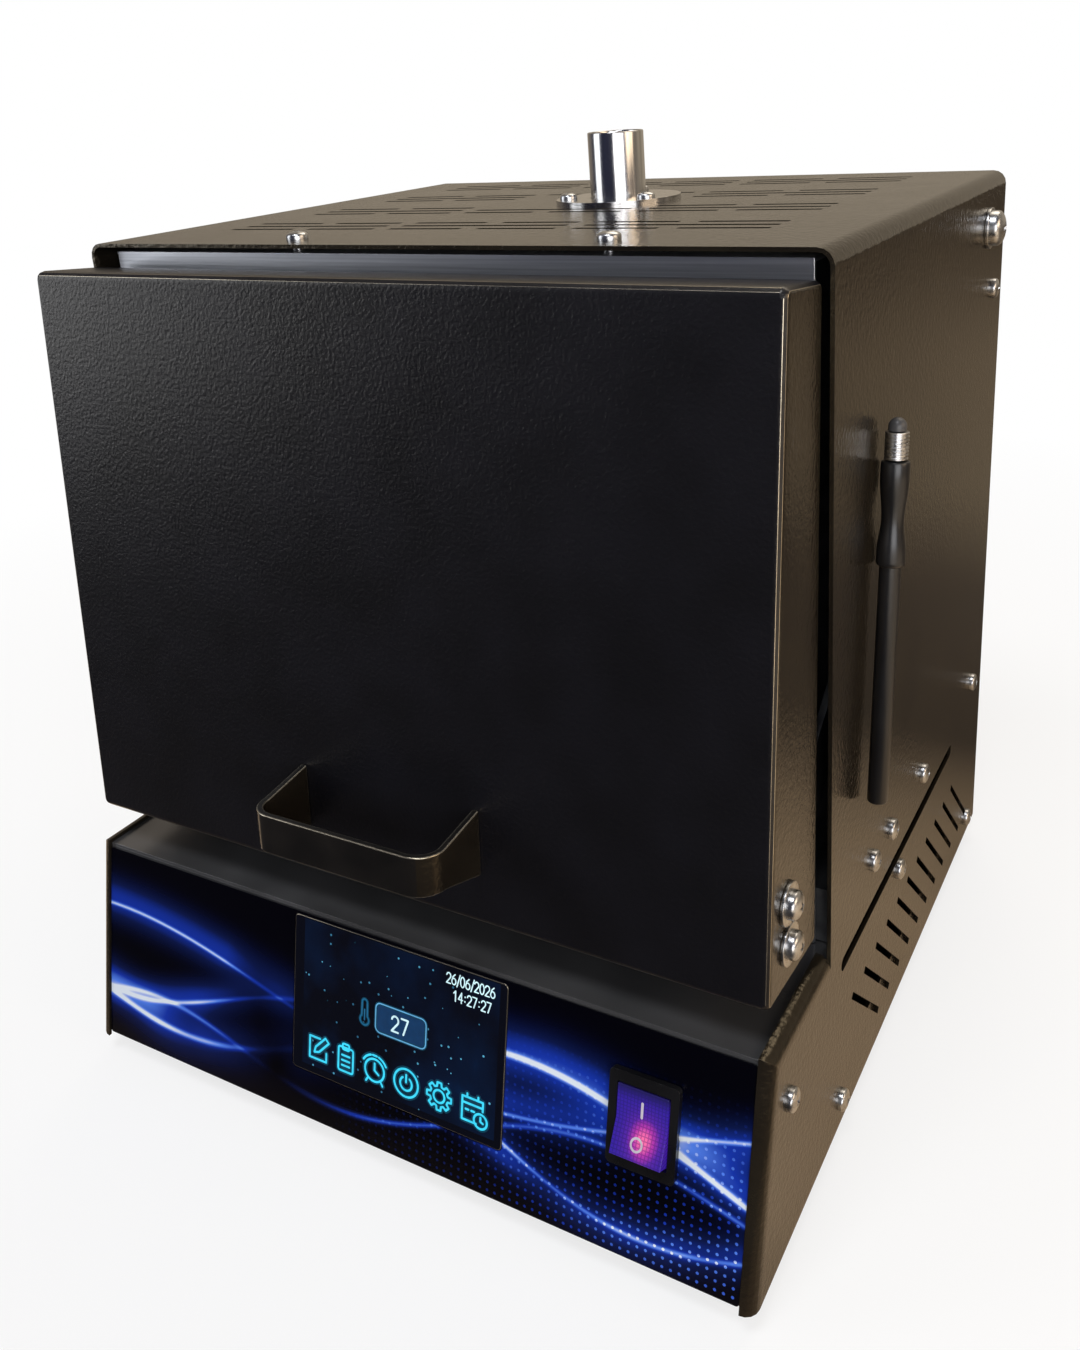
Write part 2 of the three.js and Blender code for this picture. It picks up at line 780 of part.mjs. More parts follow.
function doorShell() {
  const deep = doorFootDepth + cutAhead;
  const outline = softened([[0, 0], [deep, 0], [deep, doorLength], [0, doorLength]], doorCorner, 3);
  const outer = solid(foldedAcross(outline, doorWidth, doorBend, 0, 3));
  const inner = solid(foldedAcross(outline, doorWidth, doorBend, doorSheet, 3));
  const rear = outlineOf([
    [doorRearAt(-overrun), -overrun],
    [deep + overrun, -overrun],
    [deep + overrun, doorLength + overrun],
    [doorRearAt(doorLength + overrun), doorLength + overrun],
  ]);
  const boltHoles = doorBoltZs.map((z) => {
    return solid(barX(doorBoltShank + fitGap, -farSide, farSide, ...inDoor(doorBoltY, z), 8));
  });
  return cut(cut(outer, inner), solid(alongX(rear, -farSide, farSide)), ...boltHoles);
}

function doorInnerPlate() {
  const [foot, top] = [doorSheet + fitGap, doorLength - doorSheet - fitGap];
  const side = armInner - 2 * fitGap;
  const seat = fitGap;
  const outline = outlineOf([
    [doorRearAt(foot) - seat - innerPlateSheet, foot],
    [doorRearAt(foot) - seat, foot],
    [doorRearAt(top) - seat, top],
    [doorRearAt(top) - seat - innerPlateSheet, top],
  ]);
  const [windowSide, deep] = [padWidth / 2 + fitGap, doorFootDepth + overrun];
  const window = block(-windowSide, windowSide, 0, deep, padFoot - fitGap, padTop + fitGap);
  return cut(solid(alongX(outline, -side, side)), solid(window));
}

function doorInsulation() {
  const front = doorSheet + fitGap;
  const rearAt = (up) => (doorFootReach - mouthGap - up * Math.sin(doorLean)) / Math.cos(doorLean);
  const outline = outlineOf([
    [front, padFoot], [rearAt(padFoot), padFoot], [rearAt(padTop), padTop], [front, padTop],
  ]);
  return alongX(outline, -padWidth / 2, padWidth / 2);
}

// A handle strip: the plan of the bend met with its side view, wide at the door and low at the bar
function doorHandle() {
  const middle = (handleLeft + handleRight) / 2;
  const width = handleRight - handleLeft;
  const foot = -fitGap;
  const plan = plateOutline(middle, 0, width, 2 * handleStand, handleBend);
  const hole = plateOutline(
    middle, 0, width - 2 * handleStrip, 2 * (handleStand - handleStrip), handleBend - handleStrip,
  );
  plan.holes.push(hole);
  const bend = solid(alongZ(plan, 0, doorLength, 5));
  const side = outlineOf([
    [foot, handleLegFoot],
    [foot, handleLegTop],
    [handleBend - handleStand, handleBarTop],
    [-handleStand - overrun, handleBarTop],
    [-handleStand - overrun, handleBarFoot],
    [handleBend - handleStand, handleBarFoot],
  ]);
  return bend.intersect(solid(alongX(side, handleLeft - overrun, handleRight + overrun)));
}

// A flat arm from the pivot to the two door screws
function doorArm() {
  const places = [[pivotY, pivotZ], ...doorBoltZs.map((z) => [doorBoltY, z])];
  const span = [armInner, armOuter];
  const parts = places.map(([y, z]) => solid(barX(armHalfWidth, ...span, y, z, fineSides)));
  for (const [from, to] of [[places[0], places[1]], [places[1], places[2]]]) {
    const reach = Math.hypot(to[0] - from[0], to[1] - from[1]);
    const web = block(...span, 0, reach, -armHalfWidth, armHalfWidth);
    web.rotateX(Math.atan2(to[1] - from[1], to[0] - from[0]));
    parts.push(solid(web.translate(0, ...from)));
  }
  const holes = places.map(([y, z], i) => {
    const radius = i === 0 ? pivotShank : doorBoltShank;
    const sides = i === 0 ? roundSides : 8;
    return solid(barX(radius + fitGap, armInner - overrun, armOuter + overrun, y, z, sides));
  });
  return geometryOf(cut(joined(...parts), ...holes));
}

// A pan head screw with its washer, its shank lying from an end to the face that it clamps
// The profile of a pan head, from its seat to the top of its crown
function panHead(radius, seat, height) {
  return [
    [radius, seat], [radius, seat + height * headShoulderShare],
    [radius * headSlopeShare, seat + height * headSlopeShare],
    [radius * headCrownShare, seat + height], [0, seat + height],
  ];
}

function screwAlongX(end, face, shank, washer, washerSheet, head, headHeight) {
  const seat = face + washerSheet;
  return turnedX([
    [0, end], [shank, end], [shank, face], [washer, face], [washer, seat],
    ...panHead(head, seat, headHeight),
  ], roundSides);
}

function doorBolt(z) {
  const end = armInner - doorBoltEnd;
  const sizes = [doorBoltShank, doorWasher, doorWasherSheet, doorBoltHead, doorBoltHeadHeight];
  return screwAlongX(end, doorWidth / 2, ...sizes).translate(0, doorBoltY, z);
}

const nutOuter = armInner - fitGap;
const nutInner = nutOuter - pivotNutHeight;

function pivotBolt() {
  const sizes = [pivotShank, pivotWasher, pivotWasherSheet, pivotHead, pivotHeadHeight];
  return screwAlongX(nutInner - pivotEnd, halfWidth, ...sizes).translate(0, pivotY, pivotZ);
}

// A closed ring profile: a washer, a nut or a tube
function ring(inner, outer, from, to, sides) {
  return turned([[inner, from], [outer, from], [outer, to], [inner, to], [inner, from]], sides);
}

function pivotNutRight() {
  const hexagon = solid(bar(pivotNut, nutInner, nutOuter, 6));
  const bore = solid(bar(pivotShank + fitGap, nutInner - overrun, nutOuter + overrun));
  return geometryOf(cut(hexagon, bore)).rotateY(Math.PI / 2).translate(0, pivotY, pivotZ);
}

const flangeSide = seatSide - rearSheet;

function pivotSpacerRight() {
  const span = [armOuter + boltedGap, flangeSide - boltedGap];
  const spacer = ring(pivotShank + fitGap, pivotSpacer, ...span, roundSides);
  return spacer.rotateY(Math.PI / 2).translate(0, pivotY, pivotZ);
}

// Rear panel
const rearFace = casingDepth - rearSheet;
const rearInset = casingSheet + fitGap;

function rearPanel() {
  const flangeFront = casingDepth - rearFlange;
  const band = solid(block(-farSide, farSide, flangeFront, casingDepth, rearFoot, casingHeight));
  const hollow = cut(
    upperSkin(rearInset + rearSheet),
    solid(block(-farSide, farSide, rearFace, behind, -2 * cutAhead, casingHeight)),
  );
  const sideClear = trayFlange + fitGap;
  const trayRoom = [-1, 1].map((side) => solid(block(
    ...[side * flangeSide - rearSheet, side * flangeSide + rearSheet].map((x) => x + side * rearSheet / 2),
    flangeFront - overrun, rearFace, rearFoot - overrun, sideClear,
  )));
  const lugs = [[flangeSide, seatSide], [-seatSide, -flangeSide]].map((span) => solid(block(
    ...span, flangeFront - lugReach, flangeFront + overrun, pivotZ - lugHalfHeight, pivotZ + lugHalfHeight,
  )));
  const vents = Array.from({ length: rearVentRows }, (_, row) => [-rearVentX, rearVentX].map((x) => {
    const z = rearVentZ + row * rearVentPitch;
    return solid(block(
      x - rearVentLength / 2, x + rearVentLength / 2, rearFace - overrun, casingDepth + overrun,
      z - rearVentWidth / 2, z + rearVentWidth / 2,
    ));
  })).flat();
  const [inletSide, inletUp] = [inletWidth / 2 + fitGap, inletHeight / 2 + fitGap];
  const inletHole = block(
    inletX - inletSide, inletX + inletSide, rearFace - overrun, casingDepth + overrun,
    inletZ - inletUp, inletZ + inletUp,
  );
  const pan = cut(upperSkin(rearInset).intersect(band), hollow, ...trayRoom);
  const pivots = solid(barX(pivotShank + fitGap, -farSide, farSide, pivotY, pivotZ));
  return cut(joined(pan, ...lugs), pivots, solid(inletHole), ...vents);
}

function powerInlet() {
  const [side, up] = [inletWidth / 2, inletHeight / 2];
  const rim = plateOutline(inletX, inletZ, inletWidth + 2 * inletRim, inletHeight + 2 * inletRim, inletRim);
  const rear = casingDepth + inletProud;
  const flange = solid(alongY(rim, casingDepth + boltedGap, rear));
  const body = solid(block(inletX - side, inletX + side, rear - inletBody, rear, inletZ - up, inletZ + up));
  const mouth = outlineOf([
    [inletX - side + inletWall, inletZ - up + inletWall],
    [inletX + side - inletWall, inletZ - up + inletWall],
    [inletX + side - inletWall, inletZ + up - 2 * inletWall],
    [inletX + side - 2 * inletWall, inletZ + up - inletWall],
    [inletX - side + 2 * inletWall, inletZ + up - inletWall],
    [inletX - side + inletWall, inletZ + up - 2 * inletWall],
  ]);
  return cut(flange.add(body), solid(alongY(mouth, rear - inletPocket, rear + overrun)));
}

// Base tray and a foot
function baseTray() {
  const front = slantAt(0, consoleBack + fitGap);
  const rear = rearFace - trayRearGap;
  const floor = solid(block(-seatSide, seatSide, front, rear, 0, traySheet));
  const inner = seatSide - traySheet;
  const flanges = [[inner, seatSide], [-seatSide, -inner]].map((span) => {
    return solid(block(...span, trayFlangeFront, rear, 0, trayFlange));
  });
  const lip = solid(block(-inner, inner, rear - traySheet, rear, 0, trayFlange));
  return joined(floor, ...flanges, lip);
}

function foot() {
  return turned([
    [0, footRecessDepth - footHeight], [footRecess, footRecessDepth - footHeight], [footRecess, -footHeight],
    [footRadius - footTaper, -footHeight], [footRadius, 0], [0, 0],
  ], roundSides);
}

// Shelf, front plate, case and collar
const caseFoot = shelfTop + fitGap;
const caseFront = frontPlateY + frontPlateSheet + fitGap;
const caseSide = caseWidth / 2;
const plateFoot = ledgeHeight - consoleDepth + fitGap;

function chamberShelf() {
  const front = caseFront + fitGap;
  const under = shelfTop - shelfSheet;
  const low = under - shelfFlange;
  const deck = solid(block(-seatSide, seatSide, front, shelfRear, under, shelfTop));
  const lip = solid(block(-seatSide, seatSide, front, front + shelfSheet, plateFoot, shelfTop));
  const inner = seatSide - shelfSheet;
  const flangeFront = consoleRear + fitGap;
  const flanges = [[inner, seatSide], [-seatSide, -inner]].map((span) => {
    return solid(block(...span, flangeFront, shelfRear, low, shelfTop));
  });
  return joined(deck, lip, ...flanges);
}

const collarSide = chamberWidth / 2 + collarWall;
const collarFoot = chamberFloor - collarWall;
const collarTop = chamberTop + collarWall;

function chamberFrontPlate() {
  const side = armInner - frontPlateSideGap;
  const rear = frontPlateY + frontPlateSheet;
  const sheet = solid(block(-side, side, frontPlateY, rear, plateFoot, frontPlateTop));
  const fold = frontPlateTop - frontPlateSheet;
  const flange = solid(block(-side, side, frontPlateY, frontPlateY + frontPlateFlange, fold, frontPlateTop));
  const [windowSide, low, high] = [collarSide + fitGap, collarFoot - fitGap, collarTop + fitGap];
  const window = solid(block(-windowSide, windowSide, frontPlateY - overrun, rear + overrun, low, high));
  const holes = topScrewXs.map((x) => {
    return solid(barZ(topScrewShank + fitGap, fold - overrun, frontPlateTop + overrun, x, topScrewY, 8));
  });
  return cut(sheet.add(flange), window, ...holes);
}

function chamberCase() {
  const outer = solid(block(-caseSide, caseSide, caseFront, caseRear, caseFoot, caseTop));
  const inside = caseSide - caseSheet;
  const hollow = solid(block(
    -inside, inside, caseFront - overrun, caseRear - caseSheet, caseFoot + caseSheet, caseTop - caseSheet,
  ));
  const flueSpan = [caseTop - overrun, caseTop + overrun];
  const flueHole = solid(barZ(flueRadius + fitGap, ...flueSpan, flueX, flueY, fineSides));
  return cut(outer, hollow, flueHole, ...rearHoles(caseRear - caseSheet - overrun, caseRear + overrun));
}

function mouthCollar() {
  const frame = block(-collarSide, collarSide, -collarProud, caseFront, collarFoot, collarTop);
  const side = chamberWidth / 2;
  const hole = block(-side, side, -overrun, caseFront + overrun, chamberFloor, chamberTop);
  return cut(solid(frame), solid(hole));
}

// Fibre blocks: they fill the case round the chamber
const fillSide = caseSide - caseSheet - fitGap;
const fillFront = caseFront + fitGap;
const fillRear = caseRear - caseSheet - fitGap;
const fillFoot = caseFoot + caseSheet + fitGap;
const fillTop = caseTop - caseSheet - fitGap;
const wallInner = chamberWidth / 2 + heaterPlate + fitGap;
const rearBlockFront = chamberRear + fitGap;

// The wires run to and fro in the grooves, and their two ends leave through the rear block
const runSpan = heaterPitch * (heaterRuns - 1);
const firstRunZ = (chamberFloor + hearthSheet + chamberTop - runSpan) / 2;
const lastRunZ = firstRunZ + runSpan;
const wireX = chamberWidth / 2 + heaterGrooveDepth / 2;
const runFront = fillFront + heaterInset;
const runRear = chamberRear - heaterInset;

function rearHoles(from, to) {
  const wires = [-wireX, wireX].flatMap((x) => [firstRunZ, lastRunZ].map((z) => {
    return solid(barY(heaterWire + fitGap, from, to, x, z, 8));
  }));
  return [...wires, solid(barY(probeRadius + fitGap, from, to, 0, probeZ, roundSides))];
}

function insulationFloor() {
  return block(-fillSide, fillSide, fillFront, fillRear, fillFoot, chamberFloor - fitGap);
}

function insulationRoof() {
  const slab = block(-fillSide, fillSide, fillFront, fillRear, chamberTop + fitGap, fillTop);
  const flueSpan = [chamberTop - overrun, fillTop + overrun];
  const flueHole = barZ(flueRadius + fitGap, ...flueSpan, flueX, flueY, fineSides);
  return cut(solid(slab), solid(flueHole));
}

function insulationRight() {
  return block(wallInner, fillSide, fillFront, chamberRear, chamberFloor, chamberTop);
}

function insulationRear() {
  const slab = solid(block(-fillSide, fillSide, rearBlockFront, fillRear, chamberFloor, chamberTop));
  return cut(slab, ...rearHoles(rearBlockFront - overrun, fillRear + overrun));
}

function hearthPlate() {
  const side = chamberWidth / 2 - fitGap;
  return block(-side, side, fillFront, chamberRear, chamberFloor, chamberFloor + hearthSheet);
}

function heaterPlateRight() {
  const face = chamberWidth / 2;
  const plate = solid(block(face, face + heaterPlate, fillFront, chamberRear, chamberFloor, chamberTop));
  const groove = [face - overrun, face + heaterGrooveDepth];
  const half = heaterGroove / 2;
  const cutters = [];
  for (let run = 0; run < heaterRuns; run++) {
    const z = firstRunZ + run * heaterPitch;
    const open = run === 0 || run === heaterRuns - 1 ? chamberRear + overrun : runRear + half;
    cutters.push(solid(block(...groove, runFront - half, open, z - half, z + half)));
    if (run < heaterRuns - 1) {
      const y = run % 2 === 0 ? runFront : runRear;
      cutters.push(solid(block(...groove, y - half, y + half, z, z + heaterPitch)));
    }
  }
  return geometryOf(cut(plate, ...cutters));
}

// A round bar bent along points in a plane of constant X, with mitred joints
function bentWire(points, x, radius, sides) {
  const positions = [];
  const last = points.length - 1;
  points.forEach(([y, z], i) => {
    const before = new THREE.Vector2(y - points[Math.max(i - 1, 0)][0], z - points[Math.max(i - 1, 0)][1]);
    const next = points[Math.min(i + 1, last)];
    const after = new THREE.Vector2(next[0] - y, next[1] - z);
    const [a, b] = [i === 0 ? after : before, i === last ? before : after].map((v) => v.clone().normalize());
    const along = a.clone().add(b).normalize();
    const spread = 1 / Math.cos(Math.acos(Math.min(1, a.dot(b))) / 2);
    for (let side = 0; side < sides; side++) {
      const turn = 2 * Math.PI * side / sides;
      const across = radius * spread * Math.sin(turn);
      positions.push(x + radius * Math.cos(turn), y - along.y * across, z + along.x * across);
    }
  });
  const index = [];
  for (let i = 0; i < last; i++) {
    for (let side = 0; side < sides; side++) {
      const [p, q] = [i * sides + side, i * sides + (side + 1) % sides];
      index.push(p, p + sides, q, q, p + sides, q + sides);
    }
  }
  for (let side = 1; side < sides - 1; side++) {
    index.push(0, side, side + 1);
    index.push(last * sides, last * sides + side + 1, last * sides + side);
  }
  const geometry = new THREE.BufferGeometry();
  geometry.setAttribute('position', new THREE.Float32BufferAttribute(positions, 3));
  geometry.setIndex(index);
  return geometry;
}

// To and fro between the front and the rear bends, with a straight lead out at each end
function heaterWireRight() {
  const points = [[caseRear + heaterLead, firstRunZ]];
  const arcSteps = 3;
  for (let run = 0; run < heaterRuns - 1; run++) {
    const [low, high] = [firstRunZ + run * heaterPitch, firstRunZ + (run + 1) * heaterPitch];
    const way = run % 2 === 0 ? -1 : 1;
    const y = way < 0 ? runFront + heaterBend : runRear - heaterBend;
    for (const [z, from] of [[low + heaterBend, -Math.PI / 2], [high - heaterBend, 0]]) {
      for (let step = 0; step <= arcSteps; step++) {
        const angle = from + (step / arcSteps) * Math.PI / 2;
        points.push([y + way * heaterBend * Math.cos(angle), z + heaterBend * Math.sin(angle)]);
      }
    }
  }
  points.push([caseRear + heaterLead, lastRunZ]);
  return bentWire(points, wireX, heaterWire, 6);
}

function thermocouple() {
  const tip = chamberRear - probeTip;
  const seat = caseRear + fitGap;
  return turnedY([
    [0, tip], [probeRadius, tip], [probeRadius, seat], [probeHead, seat], [probeHead, seat + probeHeadLength],
    [0, seat + probeHeadLength],
  ]).translate(0, 0, probeZ);
}

// Flue: tube, flange and screws
function flueTube() {
  const [from, to] = [chamberTop + flueFootGap, casingHeight + flueProud];
  return ring(flueRadius - flueWall, flueRadius, from, to, fineSides).translate(flueX, flueY, 0);
}

function flueFlange() {
  const span = [casingHeight, casingHeight + flueFlangeSheet];
  const disc = solid(bar(flueFlangeRadius, ...span, fineSides).translate(flueX, flueY, 0));
  const cutSpan = [casingHeight - overrun, casingHeight + overrun];
  const holes = flueScrewPlaces.map(([x, y]) => solid(barZ(flueScrewShank + fitGap, ...cutSpan, x, y, 8)));
  return cut(disc, solid(barZ(flueRadius + fitGap, ...cutSpan, flueX, flueY, fineSides)), ...holes);
}

function uprightScrew(x, y, seat, shank, length, head, height) {
  return turned([
    [0, seat - length], [shank, seat - length], [shank, seat], ...panHead(head, seat, height),
  ], 12).translate(x, y, 0);
}

function flueScrew([x, y]) {
  const seat = casingHeight + flueFlangeSheet;
  return uprightScrew(x, y, seat, flueScrewShank, flueScrewLength, flueScrewHead, flueScrewHeight);
}

function topScrew(x) {
  const sizes = [topScrewShank, topScrewLength, topScrewHead, topScrewHeight];
  return uprightScrew(x, topScrewY, casingHeight, ...sizes);
}

// Lower bay
const bayFloor = traySheet + fitGap;

function controllerBoard() {
  const [right, rear] = [boardX + boardWidth, boardY + boardDepth];
  const [low, high] = [bayFloor + boardStand, bayFloor + boardStand + boardSheet];
  const posts = [boardX + boardInset, right - boardInset].flatMap((x) => {
    const rows = [boardY + boardInset, rear - boardInset];
    return rows.map((y) => solid(barZ(boardPost, bayFloor, high, x, y, 6)));
  });
  const relays = [1, 2, 3].map((place) => {
    const x = boardX + place * boardWidth / 4;
    const y = rear - 2 * boardInset;
    return solid(block(x - relayWidth / 2, x + relayWidth / 2, y - relayWidth, y, low, high + relayHeight));
  });
  const caps = [1, 2].map((place) => {
    const x = boardX + place * boardWidth / 4;
    return solid(barZ(capRadius, low, high + capHeight, x, boardY + 4 * boardInset, 10));
  });
  return joined(solid(block(boardX, right, boardY, rear, low, high)), ...posts, ...relays, ...caps);
}

function powerSupply() {
  const [right, rear] = [supplyX + supplyWidth, supplyY + supplyDepth];
  const [low, high] = [bayFloor, bayFloor + supplyHeight];
  const notch = block(
    right - supplyLip, right + overrun, supplyY - overrun, rear + overrun,
    high - supplyHeight / 2, high + overrun,
  );
  return cut(solid(block(supplyX, right, supplyY, rear, low, high)), solid(notch));
}

function relayHeatSink() {
  const [right, top] = [sinkX + sinkWidth, bayFloor + sinkHeight];
  const plate = solid(block(sinkX, right, sinkY, sinkY + sinkDepth, top - sinkBase, top));
  const pitch = (sinkWidth - sinkFin) / (sinkFins - 1);
  const fins = Array.from({ length: sinkFins }, (_, i) => {
    const x = sinkX + i * pitch;
    return solid(block(x, x + sinkFin, sinkY, sinkY + sinkDepth, bayFloor, top));
  });
  return joined(plate, ...fins);
}

function solidStateRelay() {
  const [x, y] = [sinkX + sinkWidth / 2, sinkY + sinkDepth / 2];
  const seat = bayFloor + sinkHeight + boltedGap;
  const body = block(x - solidRelayWidth / 2, x + solidRelayWidth / 2, y - solidRelayDepth / 2,
    y + solidRelayDepth / 2, seat, seat + solidRelayHeight);
  const shelf = solidRelayDepth / 4;
  const notches = [-1, 1].map((end) => {
    const middle = y + end * solidRelayDepth / 2;
    return solid(block(x - solidRelayWidth, x + solidRelayWidth, middle - shelf, middle + shelf,
      seat + solidRelayHeight / 2, seat + 2 * solidRelayHeight));
  });
  return cut(solid(body), ...notches);
}

function terminalBlock() {
  const width = stripWays * stripPitch;
  const [rear, top] = [stripY + stripDepth, bayFloor + stripHeight];
  const body = solid(block(stripX, stripX + width, stripY, rear, bayFloor, top));
  const slots = Array.from({ length: stripWays }, (_, i) => {
    const x = stripX + i * stripPitch + stripPitch / 2;
    return solid(block(
      x - stripSlot / 2, x + stripSlot / 2, stripY - overrun, rear + overrun,
      bayFloor + stripHeight / 2, top + overrun,
    ));
  });
  return cut(body, ...slots);
}

// Stylus, standing along its own axis
function stylusBody() {
  const ringTop = stylusBarrelLength + stylusRingLength;
  return turned([
    [0, 0], [stylusBarrel - stylusEdge, 0], [stylusBarrel, stylusEdge], [stylusBarrel, stylusBarrelLength],
    [stylusRing, stylusBarrelLength + stylusEdge], [stylusRing, ringTop - stylusEdge],
    [(stylusRing + stylusWaist) / 2, (ringTop + stylusWaistAt) / 2], [stylusWaist, stylusWaistAt],
    [(stylusRing + stylusWaist) / 2, (stylusWaistAt + stylusFlareAt) / 2], [stylusRing, stylusFlareAt],
    [stylusRing, stylusBodyLength - stylusEdge], [stylusRing - stylusEdge, stylusBodyLength],
    [0, stylusBodyLength],
  ], roundSides);
}

const ferruleFoot = stylusBodyLength + fitGap;
const ferruleTop = ferruleFoot + stylusFerruleLength;

function stylusFerruleRing() {
  const points = [[0, ferruleFoot], [stylusFerrule, ferruleFoot]];
  const step = stylusFerruleLength / (2 * stylusGrooves + 1);
  for (let i = 0; i < stylusGrooves; i++) {
    const low = ferruleFoot + (2 * i + 1) * step;
    const groove = [stylusFerrule - stylusGrooveDepth, low + step / 2];
    points.push([stylusFerrule, low], groove, [stylusFerrule, low + step]);
  }
  points.push([stylusFerrule, ferruleTop], [0, ferruleTop]);
  return turned(points, 12);
}

function stylusDome() {
  const low = ferruleTop + fitGap;
  const shoulder = low + stylusTipLength - stylusTip;
  const points = [[0, low], [stylusTip, low], [stylusTip, shoulder]];
  for (let step = 1; step <= 3; step++) {
    const angle = (step / 3) * Math.PI / 2;
    const radius = step === 3 ? 0 : stylusTip * Math.cos(angle);
    points.push([radius, shoulder + stylusTip * Math.sin(angle)]);
  }
  return turned(points, 12);
}

// Scene graph: the casing's frame has Y = 0 at the front edge of the top and Z = 0 at its lower edge
const furnace = new THREE.Group();
const handleFront = handleBarFoot * Math.sin(doorLean) - doorFootReach - handleStand * Math.cos(doorLean);
const rearMost = casingDepth + inletProud;
furnace.position.set(0, -(handleFront + rearMost) / 2, footHeight);

furnace.add(
  piece('outer_cover', outerCover(), 'powderCoat'),
  piece('base_tray', baseTray(), 'galvanised'),
  piece('rear_panel', rearPanel(), 'powderCoat'),
  piece('console_panel', consolePanel(), 'console'),
  piece('chamber_shelf', chamberShelf(), 'galvanised'),
  piece('chamber_front_plate', chamberFrontPlate(), 'stainless'),
  piece('chamber_case', chamberCase(), 'galvanised'),
  piece('mouth_collar', mouthCollar(), 'fibre'),
  piece('insulation_floor', insulationFloor(), 'fibre'),
  piece('insulation_roof', insulationRoof(), 'fibre'),
  piece('insulation_rear', insulationRear(), 'fibre'),
  piece('hearth_plate', hearthPlate(), 'ceramic'),
  piece('thermocouple', thermocouple(), 'ceramic'),
  piece('flue_tube', flueTube(), 'stainless'),
  piece('flue_flange', flueFlange(), 'stainless'),
  piece('flue_screw_left', flueScrew(flueScrewPlaces[0]), 'zinc'),
  piece('flue_screw_right', flueScrew(flueScrewPlaces[1]), 'zinc'),
  piece('flue_screw_rear', flueScrew(flueScrewPlaces[2]), 'zinc'),
  piece('top_screw_left', topScrew(topScrewLeftX), 'zinc'),
  piece('top_screw_right', topScrew(topScrewRightX), 'zinc'),
  piece('controller_board', controllerBoard(), 'board'),
  piece('power_supply', powerSupply(), 'aluminium'),
  piece('relay_heat_sink', relayHeatSink(), 'aluminium'),
  piece('solid_state_relay', solidStateRelay(), 'blackPlastic'),
  piece('terminal_block', terminalBlock(), 'blackPlastic'),
  piece('power_inlet', powerInlet(), 'blackPlastic'),
);

// Pieces that come in pairs, left and right
function addPair(group, name, right, look) {
  group.add(piece(`${name}_right`, right, look), piece(`${name}_left`, mirrored(right), look));
}

addPair(furnace, 'insulation', insulationRight(), 'fibre');
addPair(furnace, 'heater_plate', heaterPlateRight(), 'ceramic');
addPair(furnace, 'heater_wire', heaterWireRight(), 'heater');
addPair(furnace, 'pivot_bolt', pivotBolt(), 'zinc');
addPair(furnace, 'pivot_nut', pivotNutRight(), 'zinc');
addPair(furnace, 'pivot_spacer', pivotSpacerRight(), 'zinc');

for (const [end, y] of [['front', footFrontY], ['rear', footRearY]]) {
  for (const [side, x] of [['left', -footX], ['right', footX]]) {
    const mesh = piece(`foot_${end}_${side}`, foot(), 'rubber');
    mesh.position.set(x, y, 0);
    furnace.add(mesh);
  }
}

// What lies on the slanted front
slopeGroup.add(
  piece('panel_overlay', panelOverlay(), 'overlay'),
  piece('touch_glass', touchGlass(), 'glass'),
  piece('display_module', displayModule(), 'board'),
  piece('switch_housing', switchHousing(), 'blackPlastic'),
);
const rocker = piece('switch_rocker', switchRocker(), 'rocker');
rocker.position.set(switchX, rockerAxis, switchUp);
rocker.rotation.x = -rockerTilt;
slopeGroup.add(rocker);
furnace.add(slopeGroup);

// Door, in its leaning frame, with the arms and screws in the casing's frame
const doorGroup = new THREE.Group();
doorGroup.position.set(0, -doorFootReach, doorFootHeight);
doorGroup.rotation.x = -doorLean;
doorGroup.add(
  piece('door_shell', doorShell(), 'powderCoat'),
  piece('door_inner_plate', doorInnerPlate(), 'stainless'),
  piece('door_insulation', doorInsulation(), 'fibre'),
  piece('door_handle', doorHandle(), 'handle'),
);
furnace.add(doorGroup);
addPair(furnace, 'door_arm', doorArm(), 'zinc');
addPair(furnace, 'door_bolt_upper', doorBolt(doorBoltZs[0]), 'zinc');
addPair(furnace, 'door_bolt_lower', doorBolt(doorBoltZs[1]), 'zinc');

// Stylus, leaning in the plane of the side
const stylus = new THREE.Group();
stylus.position.set(halfWidth + stylusRing + fitGap, stylusFootY, stylusFootZ);
stylus.rotation.x = -stylusLean;
stylus.add(
  piece('stylus_body', stylusBody(), 'blackPlastic'),
  piece('stylus_ferrule', stylusFerruleRing(), 'zinc'),
  piece('stylus_tip', stylusDome(), 'rubber'),
);
furnace.add(stylus);

const model = new THREE.Group();
model.add(furnace);

export default model;
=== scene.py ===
# %% [markdown]
# A benchtop dental lab furnace, dressed from its measured model.
# The measured model gives every sheet, screw and block in metres.
# This lesson adds what the eye reads on the real thing: textured powder coat, polished tube,
# printed film, a lit screen and the small side screws.

# %% Load the measured model
import json
import math
from functools import partial
import bmesh
import bpy
from mathutils import Matrix, Vector
from mathutils.bvhtree import BVHTree


